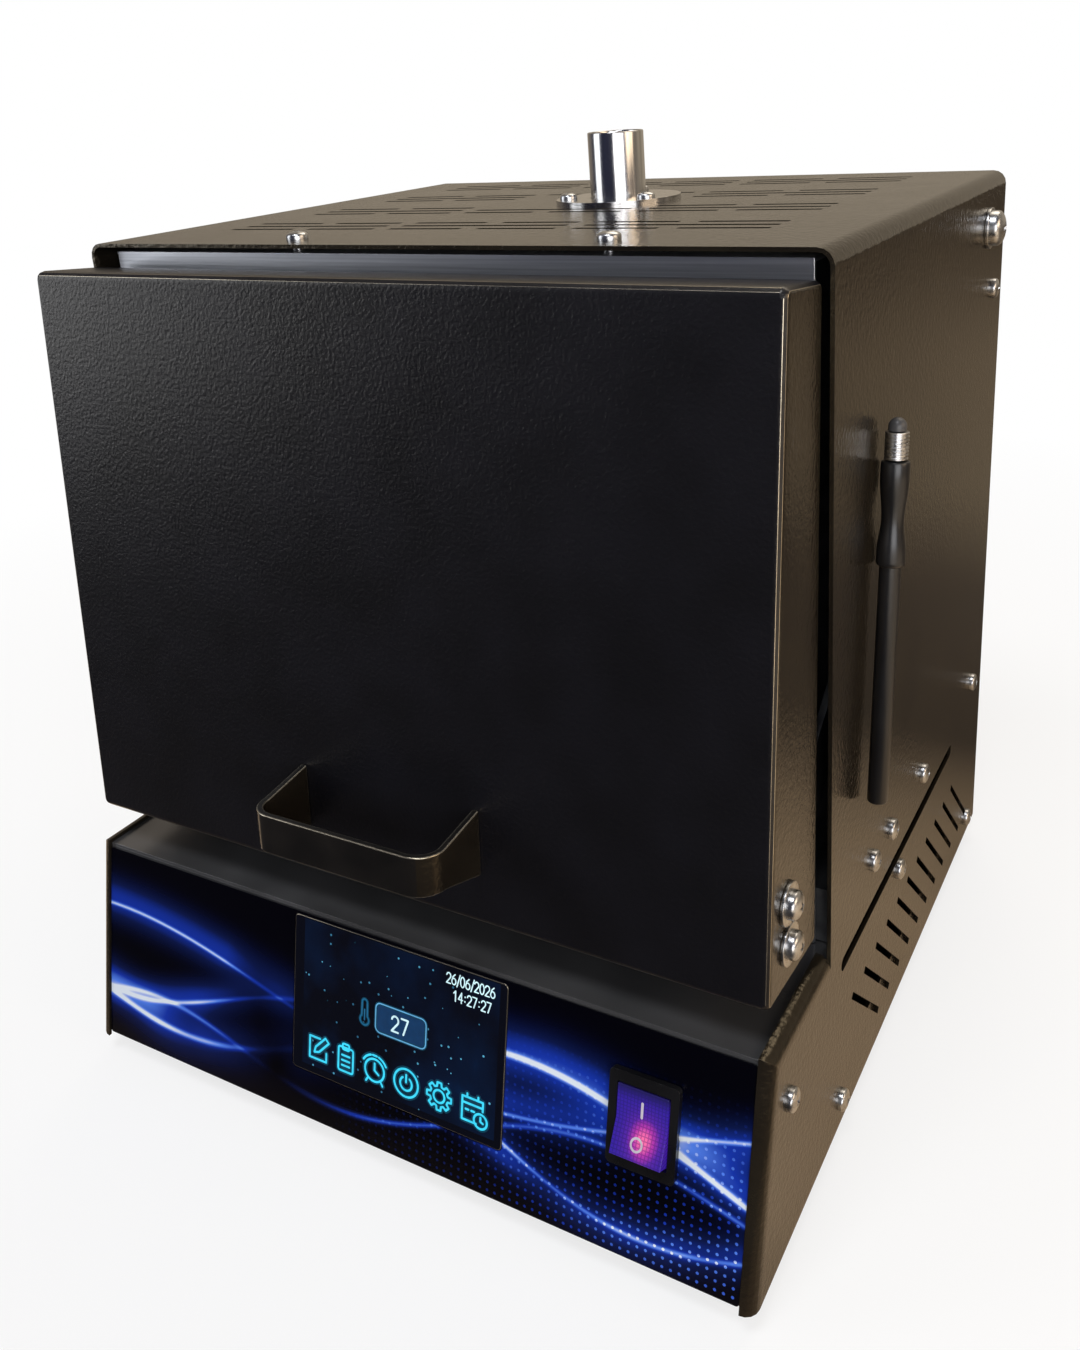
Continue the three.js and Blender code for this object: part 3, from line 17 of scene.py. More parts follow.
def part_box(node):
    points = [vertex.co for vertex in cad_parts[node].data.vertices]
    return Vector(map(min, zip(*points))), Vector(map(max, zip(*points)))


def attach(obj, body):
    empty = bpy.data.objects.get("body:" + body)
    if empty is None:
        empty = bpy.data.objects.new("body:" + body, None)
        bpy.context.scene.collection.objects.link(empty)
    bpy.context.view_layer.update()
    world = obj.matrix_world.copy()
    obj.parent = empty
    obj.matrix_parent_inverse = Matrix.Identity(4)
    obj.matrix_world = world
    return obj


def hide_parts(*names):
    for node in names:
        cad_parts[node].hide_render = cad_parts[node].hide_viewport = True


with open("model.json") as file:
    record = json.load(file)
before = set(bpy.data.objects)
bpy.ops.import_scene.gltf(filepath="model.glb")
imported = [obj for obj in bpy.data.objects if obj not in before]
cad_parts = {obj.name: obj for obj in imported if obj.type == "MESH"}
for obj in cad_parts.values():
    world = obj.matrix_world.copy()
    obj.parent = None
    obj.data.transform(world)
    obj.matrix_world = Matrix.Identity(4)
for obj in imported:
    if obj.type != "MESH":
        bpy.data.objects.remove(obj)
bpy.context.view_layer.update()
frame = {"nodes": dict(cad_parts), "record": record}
nodes = frame["nodes"]
bodies = frame["record"]["behaviour"]["bodies"]
body_of = {node: body for body, held in bodies.items() for node in held}
MM = 0.001

# %% [markdown]
# The photograph was taken close by, from the right and above, with the camera turned a little.
# A camera is easiest to copy as three directions: what it looks away from, its right and its up.
# The small lens shift keeps upright edges where the photograph has them.

# %% Camera
azimuth, elevation, roll = (math.radians(a) for a in (30.03, 20.07, -3.85))
back = Vector((
    math.sin(azimuth) * math.cos(elevation),
    -math.cos(azimuth) * math.cos(elevation),
    math.sin(elevation),
))
level = (-back).cross(Vector((0, 0, 1))).normalized()
upright = level.cross(-back)
right = level * math.cos(roll) + upright * math.sin(roll)
up = upright * math.cos(roll) - level * math.sin(roll)
camera_data = bpy.data.cameras.new("photo_camera")
camera_data.sensor_width = 36
camera_data.lens = 32.55
camera_data.shift_x = -0.0353
camera_data.shift_y = -0.1077
camera_data.clip_start = 0.01
camera = bpy.data.objects.new("photo_camera", camera_data)
bpy.context.collection.objects.link(camera)
eye = Vector((0.2140, -0.34253, 0.31675))
camera.matrix_world = Matrix.Translation(eye) @ Matrix((right, up, back)).transposed().to_4x4()
bpy.context.scene.camera = camera
print("camera at", tuple(round(v, 3) for v in eye))

# %% [markdown]
# Black paint shows little but what it mirrors, so the lamps matter more than its colour.
# Large soft panels give broad, calm reflections, and a warm one at the right tints the side.

# %% Lamps
def lamp(name, place, target, size, power, colour):
    data = bpy.data.lights.new(name, "AREA")
    data.shape = "RECTANGLE"
    data.size, data.size_y = size
    data.energy = power
    data.color = colour
    lit = bpy.data.objects.new(name, data)
    lit.location = place
    aim = Vector(target) - Vector(place)
    lit.rotation_euler = aim.to_track_quat("-Z", "Y").to_euler()
    bpy.context.collection.objects.link(lit)


lamp("window_left", (-1.35, -0.80, 0.70), (0, 0, 0.30), (0.8, 1.2), 8.5, (0.93, 0.96, 1.0))
lamp("front_high", (0.05, -0.62, 1.55), (0, -0.1, 0.12), (0.6, 0.4), 11, (0.92, 0.95, 1.0))
lamp("beside_camera", (0.95, -1.2, 0.45), (0, -0.1, 0.08), (1.1, 0.7), 12, (0.98, 0.98, 1.0))
lamp("warm_right", (1.5, -0.1, 0.75), (0, 0, 0.12), (0.9, 0.7), 7, (1.0, 0.78, 0.55))
lamp("ceiling", (0.1, 0.9, 1.5), (0, 0, 0.2), (1.2, 0.8), 9, (1.0, 0.9, 0.76))

# %% [markdown]
# Looks are made of shader nodes. A few short helpers make a node and feed its inputs, each with
# a plain value or with the output of another node.

# %% Helpers for nodes
def feed(where, value, socket):
    if isinstance(value, bpy.types.NodeSocket):
        where.links.new(value, socket)
    else:
        socket.default_value = value


def fill(where, node, *values, **named):
    """Feeds inputs in their order, or by name, with an underscore for each space."""
    for socket, value in zip(node.inputs, values):
        feed(where, value, socket)
    for label, value in named.items():
        feed(where, value, node.inputs[label.replace("_", " ")])
    return node


def new_node(where, kind, *values, **named):
    return fill(where, where.nodes.new(kind), *values, **named)


def math_node(where, operation, *values, kind="ShaderNodeMath"):
    node = where.nodes.new(kind)
    node.operation = operation
    return fill(where, node, *values).outputs[0]


def colour_stops(where, factor, stops):
    """A colour ramp of (position, colour) stops, read at the factor."""
    node = new_node(where, "ShaderNodeValToRGB", factor)
    while len(node.color_ramp.elements) < len(stops):
        node.color_ramp.elements.new(0.5)
    for element, (position, colour) in zip(node.color_ramp.elements, stops):
        element.position = position
        element.color = (*colour, 1)
    return node.outputs[0]


print("node helpers ready")

# %% [markdown]
# The world is white to the camera. To all other rays it is a studio: a pale warm backdrop
# behind the furnace, and a dim room in front of it, so that the front of the paint stays black.
# A colour ramp along Y makes both, and Light Path tells the two kinds of ray apart.

# %% World
world = bpy.data.worlds.new("plain_studio")
bpy.context.scene.world = world
world.use_nodes = True
tree = world.node_tree
tree.nodes.clear()
looking = tree.nodes.new("ShaderNodeTexCoord").outputs["Generated"]
along_y = new_node(tree, "ShaderNodeSeparateXYZ", looking).outputs["Y"]
halfway = new_node(tree, "ShaderNodeMapRange", Value=along_y, From_Min=-1).outputs["Result"]
room_front, backdrop = (0.026, 0.030, 0.062), (0.43, 0.365, 0.28)
room = colour_stops(tree, halfway, ((0.36, room_front), (0.90, backdrop)))
studio = new_node(tree, "ShaderNodeBackground", room).outputs[0]
seen = new_node(tree, "ShaderNodeBackground", (1, 1, 1, 1)).outputs[0]
ray = tree.nodes.new("ShaderNodeLightPath").outputs
direct = math_node(tree, "MAXIMUM", ray["Is Camera Ray"], ray["Is Transmission Ray"])
mixed = new_node(tree, "ShaderNodeMixShader", direct, studio, seen).outputs[0]
new_node(tree, "ShaderNodeOutputWorld", mixed)
bpy.context.scene.view_settings.view_transform = "Standard"
print("world", world.name, len(tree.nodes), "nodes")

# %% [markdown]
# Materials come next. Two effects are used by many of them, so each is a node group:
# "fine_grain" is a height made of two noises, for powder coat, moulded plastic and fibre,
# and "brushing" is a noise drawn out along one axis, for metal.

# %% Helpers for node groups
def group(name, inputs, outputs, kind="ShaderNodeTree"):
    made = bpy.data.node_groups.new(name, kind)
    for label, socket_kind, value in inputs:
        socket = made.interface.new_socket(label, in_out="INPUT", socket_type=socket_kind)
        if value is not None:
            socket.default_value = value
    for label, socket_kind in outputs:
        made.interface.new_socket(label, in_out="OUTPUT", socket_type=socket_kind)
    return made, made.nodes.new("NodeGroupInput"), made.nodes.new("NodeGroupOutput")


def use_group(where, tree, **named):
    use = where.nodes.new("ShaderNodeGroup")
    use.node_tree = tree
    return fill(where, use, **named)


print("group helpers ready")

# %% Node groups for grain and brushing
grain, given, result = group(
    "fine_grain",
    [("Vector", "NodeSocketVector", None), ("Scale", "NodeSocketFloat", 900.0),
     ("Blotches", "NodeSocketFloat", 40.0)],
    [("Height", "NodeSocketFloat"), ("Patches", "NodeSocketFloat")],
)
for scale, detail, output in (("Scale", 3, "Height"), ("Blotches", 2, "Patches")):
    noise = new_node(grain, "ShaderNodeTexNoise", Detail=detail, Scale=given.outputs[scale],
                     Vector=given.outputs["Vector"])
    grain.links.new(noise.outputs["Fac"], result.inputs[output])

brushing, given, result = group(
    "brushing",
    [("Vector", "NodeSocketVector", None), ("Stretch", "NodeSocketVector", (20, 900, 900))],
    [("Lines", "NodeSocketFloat")],
)
vector_node = partial(math_node, kind="ShaderNodeVectorMath")
stretched = vector_node(brushing, "MULTIPLY", given.outputs["Vector"], given.outputs["Stretch"])
lines = new_node(brushing, "ShaderNodeTexNoise", Scale=1, Detail=4, Vector=stretched)
brushing.links.new(lines.outputs["Fac"], result.inputs["Lines"])
print("groups", [g.name for g in bpy.data.node_groups])

# %% [markdown]
# A finish is one material made from one of those groups. The base colour wanders between two
# tones, the roughness follows the same patches, and the relief lifts the surface by hundredths
# of a millimetre. Only these vary, so metal, coat and tint are plain values on the shader.

# %% Helpers that build a finish
def empty_material(name):
    made = bpy.data.materials.new(name)
    made.use_nodes = True
    where = made.node_tree
    shader = where.nodes["Principled BSDF"]
    place = where.nodes.new("ShaderNodeTexCoord").outputs["Object"]
    return made, where, shader, place


def two_tones(where, factor, low, high):
    return colour_stops(where, factor, ((0.35, low), (0.65, high)))


def between(where, factor, low, high):
    """A factor of 0 to 1 becomes a value from low to high."""
    node = new_node(where, "ShaderNodeMapRange", Value=factor, To_Min=low, To_Max=high)
    return node.outputs["Result"]


def textured(name, effect, mask, height, low, high, rough, relief, **named):
    """The mask mixes the tones and the roughness, and the height gives the relief, in mm."""
    made, where, shader, place = empty_material(name)
    use = use_group(where, effect, Vector=place, **named)
    bump = new_node(where, "ShaderNodeBump", Distance=relief * MM, Height=use.outputs[height])
    fill(where, shader, Normal=bump.outputs["Normal"],
         Base_Color=two_tones(where, use.outputs[mask], low, high),
         Roughness=between(where, use.outputs[mask], *rough))
    return made, shader


def grained(name, low, high, rough, scale, relief, metal=0, blotches=40, coat=0, tint=(1, 1, 1)):
    made, shader = textured(name, grain, "Patches", "Height", low, high, rough, relief,
                            Scale=scale, Blotches=blotches)
    fill(made.node_tree, shader, Metallic=metal, Coat_Weight=coat, Specular_Tint=(*tint, 1))
    return made


brush_relief = 0.01


def brushed(name, low, high, rough, stretch):
    made, shader = textured(name, brushing, "Lines", "Lines", low, high, rough, brush_relief,
                            Stretch=stretch)
    fill(made.node_tree, shader, Metallic=1)
    return made


print("finish helpers ready")

# %% [markdown]
# Each row below is a finish: its dark and light tone, its range of roughness, how fine the grain
# is, and the relief in millimetres. A brushed metal has a stretch along X, Y and Z instead,
# with the small number along the strokes.

# %% Grained finishes: paints, plastics and fibres
finishes = {}
for name, low, high, rough, scale, relief, more in (
    ("cover_coat", (0.010, 0.008, 0.006), (0.016, 0.013, 0.009), (0.13, 0.20), 650, 0.17,
     {"tint": (1.0, 0.83, 0.56)}),
    ("door_coat", (0.0035, 0.0035, 0.005), (0.0048, 0.0048, 0.0072), (0.30, 0.36), 950, 0.16,
     {"tint": (1.0, 0.94, 0.84)}),
    # Painted edge highlight: a light metallic finish for the bevel faces of door, handle and glass.
    ("worn_edge", (0.26, 0.23, 0.175), (0.44, 0.39, 0.30), (0.20, 0.30), 1600, 0.03,
     {"metal": 0.85}),
    ("console_coat", (0.16, 0.16, 0.162), (0.22, 0.218, 0.22), (0.18, 0.28), 1100, 0.04,
     {"metal": 0.75}),
    ("black_plastic", (0.005, 0.005, 0.0055), (0.009, 0.009, 0.010), (0.24, 0.32), 2400, 0.02, {}),
    ("gloss_black", (0.004, 0.004, 0.004), (0.010, 0.009, 0.008), (0.10, 0.18), 500, 0.02,
     {"blotches": 60, "coat": 0.6, "tint": (1.0, 0.86, 0.7)}),
    ("soft_tip", (0.04, 0.04, 0.042), (0.06, 0.06, 0.062), (0.36, 0.46), 2500, 0.01, {}),
    ("rubber", (0.010, 0.010, 0.010), (0.018, 0.018, 0.018), (0.7, 0.85), 1500, 0.04, {}),
    ("fibre", (0.72, 0.69, 0.62), (0.84, 0.82, 0.76), (0.9, 1.0), 700, 0.3, {}),
    ("ceramic", (0.58, 0.54, 0.46), (0.70, 0.66, 0.58), (0.75, 0.9), 1200, 0.08, {}),
    ("heater", (0.06, 0.05, 0.045), (0.14, 0.11, 0.09), (0.5, 0.7), 900, 0.05, {"metal": 0.8}),
    ("board", (0.01, 0.09, 0.035), (0.015, 0.13, 0.05), (0.3, 0.5), 1500, 0.03, {}),
):
    finishes[name] = grained(name, low, high, rough, scale, relief, **more)
print("grained", len(finishes))

# %% Brushed finishes: metals
for name, low, high, rough, stretch in (
    ("stainless", (0.52, 0.53, 0.56), (0.68, 0.69, 0.72), (0.30, 0.44), (15, 15, 1400)),
    ("flue_steel", (0.46, 0.45, 0.44), (0.66, 0.65, 0.64), (0.12, 0.24), (500, 500, 20)),
    ("screw_steel", (0.40, 0.40, 0.40), (0.56, 0.56, 0.56), (0.22, 0.34), (400, 400, 400)),
    ("zinc", (0.42, 0.42, 0.42), (0.58, 0.58, 0.57), (0.28, 0.42), (200, 200, 200)),
    ("black_zinc", (0.030, 0.030, 0.032), (0.055, 0.055, 0.057), (0.34, 0.48), (200, 200, 200)),
    ("galvanised", (0.13, 0.135, 0.14), (0.22, 0.225, 0.23), (0.45, 0.6), (120, 60, 120)),
    ("aluminium", (0.50, 0.50, 0.51), (0.62, 0.62, 0.63), (0.3, 0.42), (15, 700, 700)),
):
    finishes[name] = brushed(name, low, high, rough, stretch)
print("finishes", len(finishes))

# %% [markdown]
# The slanted front carries a printed film, a glass screen and a lit rocker. Their patterns are
# drawn in the front's own directions: "across" runs along the furnace and "up" climbs the slant.
# A node group turns Object coordinates into those two lengths in millimetres, and a second one
# draws a soft curved line, so the film is a sum of a few such lines over a dark ground.

# %% Node group for places on the slanted front
slope_foot = Vector((0, -0.129184, 0.008))
slope_up = Vector((0, 0.23868, 0.97110))
slope_out = Vector((0, -0.97110, 0.23868))

slant, given, result = group(
    "slant_place",
    [("Vector", "NodeSocketVector", None)],
    [("Across", "NodeSocketFloat"), ("Up", "NodeSocketFloat")],
)
shifted = vector_node(slant, "SUBTRACT", given.outputs["Vector"], slope_foot)
for label, direction in (("Across", Vector((1, 0, 0))), ("Up", slope_up)):
    dot = new_node(slant, "ShaderNodeVectorMath", shifted, direction / MM)
    dot.operation = "DOT_PRODUCT"
    slant.links.new(dot.outputs["Value"], result.inputs[label])


def slant_of(where, place):
    use = use_group(where, slant, Vector=place)
    return use.outputs["Across"], use.outputs["Up"]


print("slant up", tuple(slope_up))

# %% Node group for a soft curved line of light
light_line, given, result = group(
    "light_line",
    [(label, "NodeSocketFloat", value) for label, value in (
        ("Across", 0), ("Up", 0), ("Base", 30), ("Rise", 0), ("Swing", 10), ("Waves", 0.02),
        ("Shift", 0), ("Width", 2),
    )],
    [("Glow", "NodeSocketFloat")],
)
calc, value_of = partial(math_node, light_line), given.outputs
angle = calc("ADD", calc("MULTIPLY", value_of["Across"], value_of["Waves"]), value_of["Shift"])
wave = calc("MULTIPLY", calc("SINE", angle), value_of["Swing"])
climb = calc("MULTIPLY", value_of["Across"], value_of["Rise"])
middle = calc("ADD", calc("ADD", wave, climb), value_of["Base"])
away = calc("DIVIDE", calc("SUBTRACT", value_of["Up"], middle), value_of["Width"])
fall = calc("MULTIPLY", calc("MULTIPLY", away, away), -1)
light_line.links.new(calc("EXPONENT", fall), result.inputs["Glow"])
print("front groups", slant.name, light_line.name)

# %% Helpers for patterns
def dots(where, across, up, pitch, size):
    """A regular field of round dots: 1 inside a dot, 0 between them."""
    calc = partial(math_node, where)
    legs = []
    for length in (across, up):
        cell = calc("SUBTRACT", calc("FRACT", calc("DIVIDE", length, pitch)), 0.5)
        legs.append(calc("MULTIPLY", cell, cell))
    return calc("LESS_THAN", calc("ADD", *legs), size)


def fading(where, value, start, end):
    """0 at the start and 1 at the end, and no further."""
    node = new_node(where, "ShaderNodeMapRange", Value=value, From_Min=start, From_Max=end)
    return node.outputs["Result"]


print("pattern helpers ready")

# %% [markdown]
# The film is dark, with crossing waves of blue light and a few white hot lines, and a field of
# small dots that fades in towards the right. It has a satin surface, so its light stays soft.

# %% Printed film
film, where, shader, place = empty_material("printed_film")
calc = partial(math_node, where)
across, up = slant_of(where, place)
total = None
for base, rise, swing, waves, shift, width, strength in (
    (32, 0.02, 17, 0.024, 0.3, 7.5, 0.42),
    (26, -0.05, 13, 0.031, 2.2, 5.5, 0.40),
    (44, 0.03, 12, 0.019, 4.0, 6.5, 0.34),
    (31, 0.02, 17, 0.024, 0.42, 1.1, 0.80),
    (27, -0.05, 14, 0.031, 2.05, 0.8, 0.62),
    (41, 0.03, 13, 0.021, 4.1, 0.7, 0.50),
    (19, 0.06, 9, 0.036, 5.2, 0.9, 0.45),
):
    line = use_group(where, light_line, Across=across, Up=up, Base=base, Rise=rise, Swing=swing,
                     Waves=waves, Shift=shift, Width=width)
    glow = calc("MULTIPLY", line.outputs["Glow"], strength)
    total = glow if total is None else calc("ADD", total, glow)
drift = use_group(where, grain, Scale=60, Blotches=14, Vector=place)
mottled = calc("MULTIPLY", total, fading(where, drift.outputs["Patches"], 0.28, 0.6))
dot_pitch, dot_size, dot_light = 2.6, 0.03, 0.5
field = calc("MULTIPLY", dots(where, across, up, dot_pitch, dot_size),
             fading(where, across, -20, 130))
field = calc("MULTIPLY", field, fading(where, up, 60, 5))
sum_of_light = calc("ADD", mottled, calc("MULTIPLY", field, dot_light))
film_colour = colour_stops(where, sum_of_light, (
    (0.0, (0.0006, 0.0006, 0.0025)), (0.16, (0.004, 0.010, 0.070)), (0.38, (0.010, 0.040, 0.42)),
    (0.62, (0.10, 0.25, 0.90)), (0.92, (0.85, 0.92, 1.0)),
))
fill(where, shader, Base_Color=film_colour, Specular_IOR_Level=0.16,
     Roughness=between(where, drift.outputs["Height"], 0.20, 0.28))
finishes["printed_film"] = film
print("film", len(where.nodes), "nodes")

# %% [markdown]
# The screen shines by itself. Inside the lit rectangle the glass shows a navy ground that is
# lighter in the middle, with small points of light. Outside it there is only dark glass.

# %% Screen glass
screen, where, shader, place = empty_material("screen_glass")
calc = partial(math_node, where)
across, up = slant_of(where, place)
lit_middle, lit_reach = (5.1, 44.7), (36.7, 24.5)
inside = None
for length, middle, reach in zip((across, up), lit_middle, lit_reach):
    within = calc("LESS_THAN", calc("ABSOLUTE", calc("SUBTRACT", length, middle)), reach)
    inside = within if inside is None else calc("MULTIPLY", inside, within)
sky = new_node(where, "ShaderNodeTexNoise", Vector=place, Scale=45, Detail=3)
sparks = new_node(where, "ShaderNodeTexVoronoi", Vector=place, Scale=300)
spark_size, spark_light, haze_light = 0.11, 0.58, 0.42
spark = calc("LESS_THAN", sparks.outputs["Distance"], spark_size)
haze = calc("MULTIPLY", fading(where, sky.outputs["Fac"], 0.38, 0.80), haze_light)
brightness = calc("ADD", haze, calc("MULTIPLY", spark, spark_light))
picture = colour_stops(where, calc("MULTIPLY", brightness, inside), (
    (0.0, (0.0004, 0.001, 0.004)), (0.3, (0.0008, 0.006, 0.024)), (0.50, (0.001, 0.02, 0.075)),
    (0.92, (0.12, 0.50, 0.75)),
))
fill(where, shader, Emission_Color=picture, Emission_Strength=1, Specular_IOR_Level=0.4,
     Base_Color=(0.002, 0.002, 0.003, 1),
     Roughness=between(where, sky.outputs["Fac"], 0.08, 0.14))
finishes["screen_glass"] = screen
print("screen", len(where.nodes), "nodes")

# %% [markdown]
# The rocker is tinted plastic with a small lamp behind it. The tint is blue-violet, and the lamp
# makes a pink bloom low in the middle, which fades with the distance from it. The plastic's own
# colour is lighter and pinker under the bloom, as painted light. Fine moulded ribs on its inner
# face show through as a grid, and the glow is darkened towards its upper end as a painted
# shadow of the housing.

# %% Lit rocker
lit_plastic, where, shader, place = empty_material("lit_rocker")
calc = partial(math_node, where)
across, up = slant_of(where, place)
bloom_middle, bloom_reach = (91.2, 41.0), (4.6, 5.6)
rib_pitch, rib_share = 1.05, 0.28
parts, ribs = [], []
for length, middle, reach in zip((across, up), bloom_middle, bloom_reach):
    off = calc("DIVIDE", calc("SUBTRACT", length, middle), reach)
    parts.append(calc("MULTIPLY", off, off))
    ribs.append(calc("FRACT", calc("DIVIDE", length, rib_pitch)))
bloom = calc("EXPONENT", calc("MULTIPLY", calc("ADD", *parts), -1))
glow_colour = colour_stops(where, bloom, (
    (0.0, (0.020, 0.004, 0.24)), (0.35, (0.06, 0.008, 0.26)), (0.70, (0.42, 0.03, 0.26)),
    (1.0, (0.95, 0.16, 0.24)),
))
between_ribs = calc("GREATER_THAN", calc("MINIMUM", *ribs), rib_share)
# The ribs darken the glow, and the glow fades towards the upper end as a painted shadow of the
# housing.
ribs_and_painted_shade = calc("MULTIPLY", between(where, between_ribs, 0.5, 1.0), fading(where, up, 54, 50.5))
glow_with_painted_shade = where.nodes.new("ShaderNodeVectorMath")
glow_with_painted_shade.operation = "SCALE"
fill(where, glow_with_painted_shade, glow_colour, Scale=ribs_and_painted_shade)
# The plastic's own colour is lighter and pinker where the bloom is: painted light.
tint_with_painted_bloom = colour_stops(where, bloom, ((0.0, (0.02, 0.015, 0.12)), (1.0, (0.10, 0.02, 0.20))))
fill(where, shader, Base_Color=tint_with_painted_bloom, Emission_Color=glow_with_painted_shade.outputs[0],
     Emission_Strength=1, Roughness=0.16)
finishes["lit_rocker"] = lit_plastic
print("rocker", len(where.nodes), "nodes")

# %% [markdown]
# The marks on the screen and the rocker are plain light, a little uneven as on any display, so
# each is one colour with a faint noise in it.

# %% Finishes of the lit marks
def plain_light(name, colour):
    made, where, shader, place = empty_material(name)
    flicker = new_node(where, "ShaderNodeTexNoise", Vector=place, Scale=400)
    dimmer, darkest = ([v * share for v in colour] for share in (0.82, 0.1))
    uneven = two_tones(where, flicker.outputs["Fac"], dimmer, colour)
    fill(where, shader, Emission_Color=uneven, Emission_Strength=1, Base_Color=(*darkest, 1))
    return made


for name, colour in (
    ("screen_cyan", (0.05, 0.72, 1.0)), ("screen_white", (0.66, 0.93, 1.0)),
    ("screen_blue", (0.13, 0.42, 0.72)), ("screen_dim", (0.012, 0.13, 0.27)),
    ("screen_glow", (0.001, 0.045, 0.085)), ("screen_pane", (0.003, 0.035, 0.11)),
    ("mark_white", (0.55, 0.50, 0.58)),
):
    finishes[name] = plain_light(name, colour)
print("front finishes done,", len(finishes), "in all")

# %% [markdown]
# The measured model is made of flat facets with knife edges, and no real sheet is that sharp.
# Each piece that shows is copied, its loose triangles are merged and its flat faces rejoined,
# and every sharp edge gets a small bevel. In black paint that thin bright line is what the eye
# reads as an edge. A Bevel modifier does it in one step, and a Weighted Normal modifier after it
# keeps the large faces flat. On the door, its handle and the glass, the bevel's own faces take a
# second, light metallic finish, which is a painted edge highlight. The faces of door and handle
# that look sideways have the casing's coat, lighter and warmer than the door's, as painted light
# on those sides. The rest of the model only needs its finish.


def new_object(name, shape, finish):
    mesh = bpy.data.meshes.new(name)
    shape.to_mesh(mesh)
    shape.free()
    made = bpy.data.objects.new(name, mesh)
    bpy.context.collection.objects.link(made)
    mesh.materials.append(finish)
    return made


def baked(made):
    """The modifiers' result becomes the piece's own mesh."""
    now = made.evaluated_get(bpy.context.evaluated_depsgraph_get())
    mesh = bpy.data.meshes.new_from_object(now)
    made.modifiers.clear()
    made.data = mesh
    return made


def stands_for(made, *names):
    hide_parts(*names)
    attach(made, body_of[names[0]])
    return made


def carried(made, body):
    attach(made, body)


# %% Helpers that soften the edges
sharp_edge = math.radians(30)
nearly_flat = math.radians(0.4)
weld = 1e-6
bevel_slot, lighter_side_slot = 1, 2


def bevelled(made, edge, segments=2, highlight_finish=None):
    """The edge is the bevel's width in millimetres; the last argument names the finish of the
    bevel's own faces, which is a painted edge highlight.
    """
    made.data.shade_smooth()
    modifier = made.modifiers.new("edge", "BEVEL")
    modifier.width = edge * MM
    modifier.segments = segments
    modifier.limit_method = "ANGLE"
    modifier.angle_limit = sharp_edge
    if highlight_finish:
        made.data.materials.append(finishes[highlight_finish])
        modifier.material = bevel_slot
    weighted = made.modifiers.new("flat_faces", "WEIGHTED_NORMAL")
    weighted.mode = "FACE_AREA"
    weighted.weight = 100
    return baked(made)


def refined(node, finish, edge, segments=2, highlight_finish=None):
    shape = bmesh.new()
    shape.from_mesh(nodes[node].data)
    bmesh.ops.remove_doubles(shape, verts=shape.verts, dist=weld)
    bmesh.ops.dissolve_limit(shape, angle_limit=nearly_flat, verts=shape.verts, edges=shape.edges)
    made = new_object(node + "_fine", shape, finishes[finish])
    return stands_for(bevelled(made, edge, segments, highlight_finish), node)


# Painted light: the sideways faces of door and handle get a lighter coat than their fronts.
def paint_sides_lighter(made, least_x):
    """Faces that look along X more than this, and are no bevel, get the casing's coat,
    lighter and warmer than the door's, as painted light on those sides.
    """
    made.data.materials.append(finishes["cover_coat"])
    for face in made.data.polygons:
        if abs(face.normal.x) > least_x and face.material_index == 0:
            face.material_index = lighter_side_slot


print("bevel from", round(math.degrees(sharp_edge)), "degrees")

# %% Finishes for what is held inside or behind
kept_as_they_are = {
    "cover_coat": ["base_tray"],
    "galvanised": ["chamber_shelf", "chamber_case"],
    "fibre": ["insulation_floor", "insulation_roof", "insulation_rear", "insulation_left",
              "insulation_right", "mouth_collar", "heater_plate_left", "heater_plate_right"],
    "ceramic": ["hearth_plate", "thermocouple"],
    "heater": ["heater_wire_left", "heater_wire_right"],
    "board": ["controller_board", "display_module"],
    "aluminium": ["relay_heat_sink", "power_supply"],
    "black_plastic": ["solid_state_relay", "terminal_block"],
    "zinc": ["pivot_nut_left", "pivot_nut_right", "pivot_spacer_left", "pivot_spacer_right"],
    "black_zinc": ["door_arm_left", "door_arm_right"],
}
for finish, names in kept_as_they_are.items():
    for materials in (nodes[name].data.materials for name in names):
        for index in range(len(materials)):
            materials[index] = finishes[finish]
        if not len(materials):
            materials.append(finishes[finish])
print("kept as they are", sum(map(len, kept_as_they_are.values())))

# %% Sheets and mouldings that show
refined("outer_cover", "cover_coat", 0.3)
refined("rear_panel", "cover_coat", 0.2)
refined("console_panel", "console_coat", 0.3)
# The door, handle and glass take the painted edge highlight on their bevels.
paint_sides_lighter(refined("door_shell", "door_coat", 0.5, 3, highlight_finish="worn_edge"), 0.9)
refined("door_inner_plate", "stainless", 0.2)
refined("door_insulation", "fibre", 0.8)
paint_sides_lighter(refined("door_handle", "gloss_black", 0.35, 3, highlight_finish="worn_edge"), 0.5)
refined("chamber_front_plate", "stainless", 0.2)
refined("switch_housing", "black_plastic", 0.25)
refined("power_inlet", "black_plastic", 0.25)
refined("flue_flange", "flue_steel", 0.25)
refined("panel_overlay", "printed_film", 0.08)
refined("touch_glass", "screen_glass", 0.25, 3, highlight_finish="worn_edge")
rocker = refined("switch_rocker", "lit_rocker", 0.35, 3)
for foot in ("foot_front_left", "foot_front_right", "foot_rear_left", "foot_rear_right"):
    refined(foot, "rubber", 0.6, 3)

# %% [markdown]
# Round pieces are turned, as on a lathe: a profile of radius and height is spun round an axis.
# The screws are pan heads with a cross recess. Their profile is turned, then a cross-shaped
# cutter is taken out with a Boolean, so that the recess has real walls that catch the light.

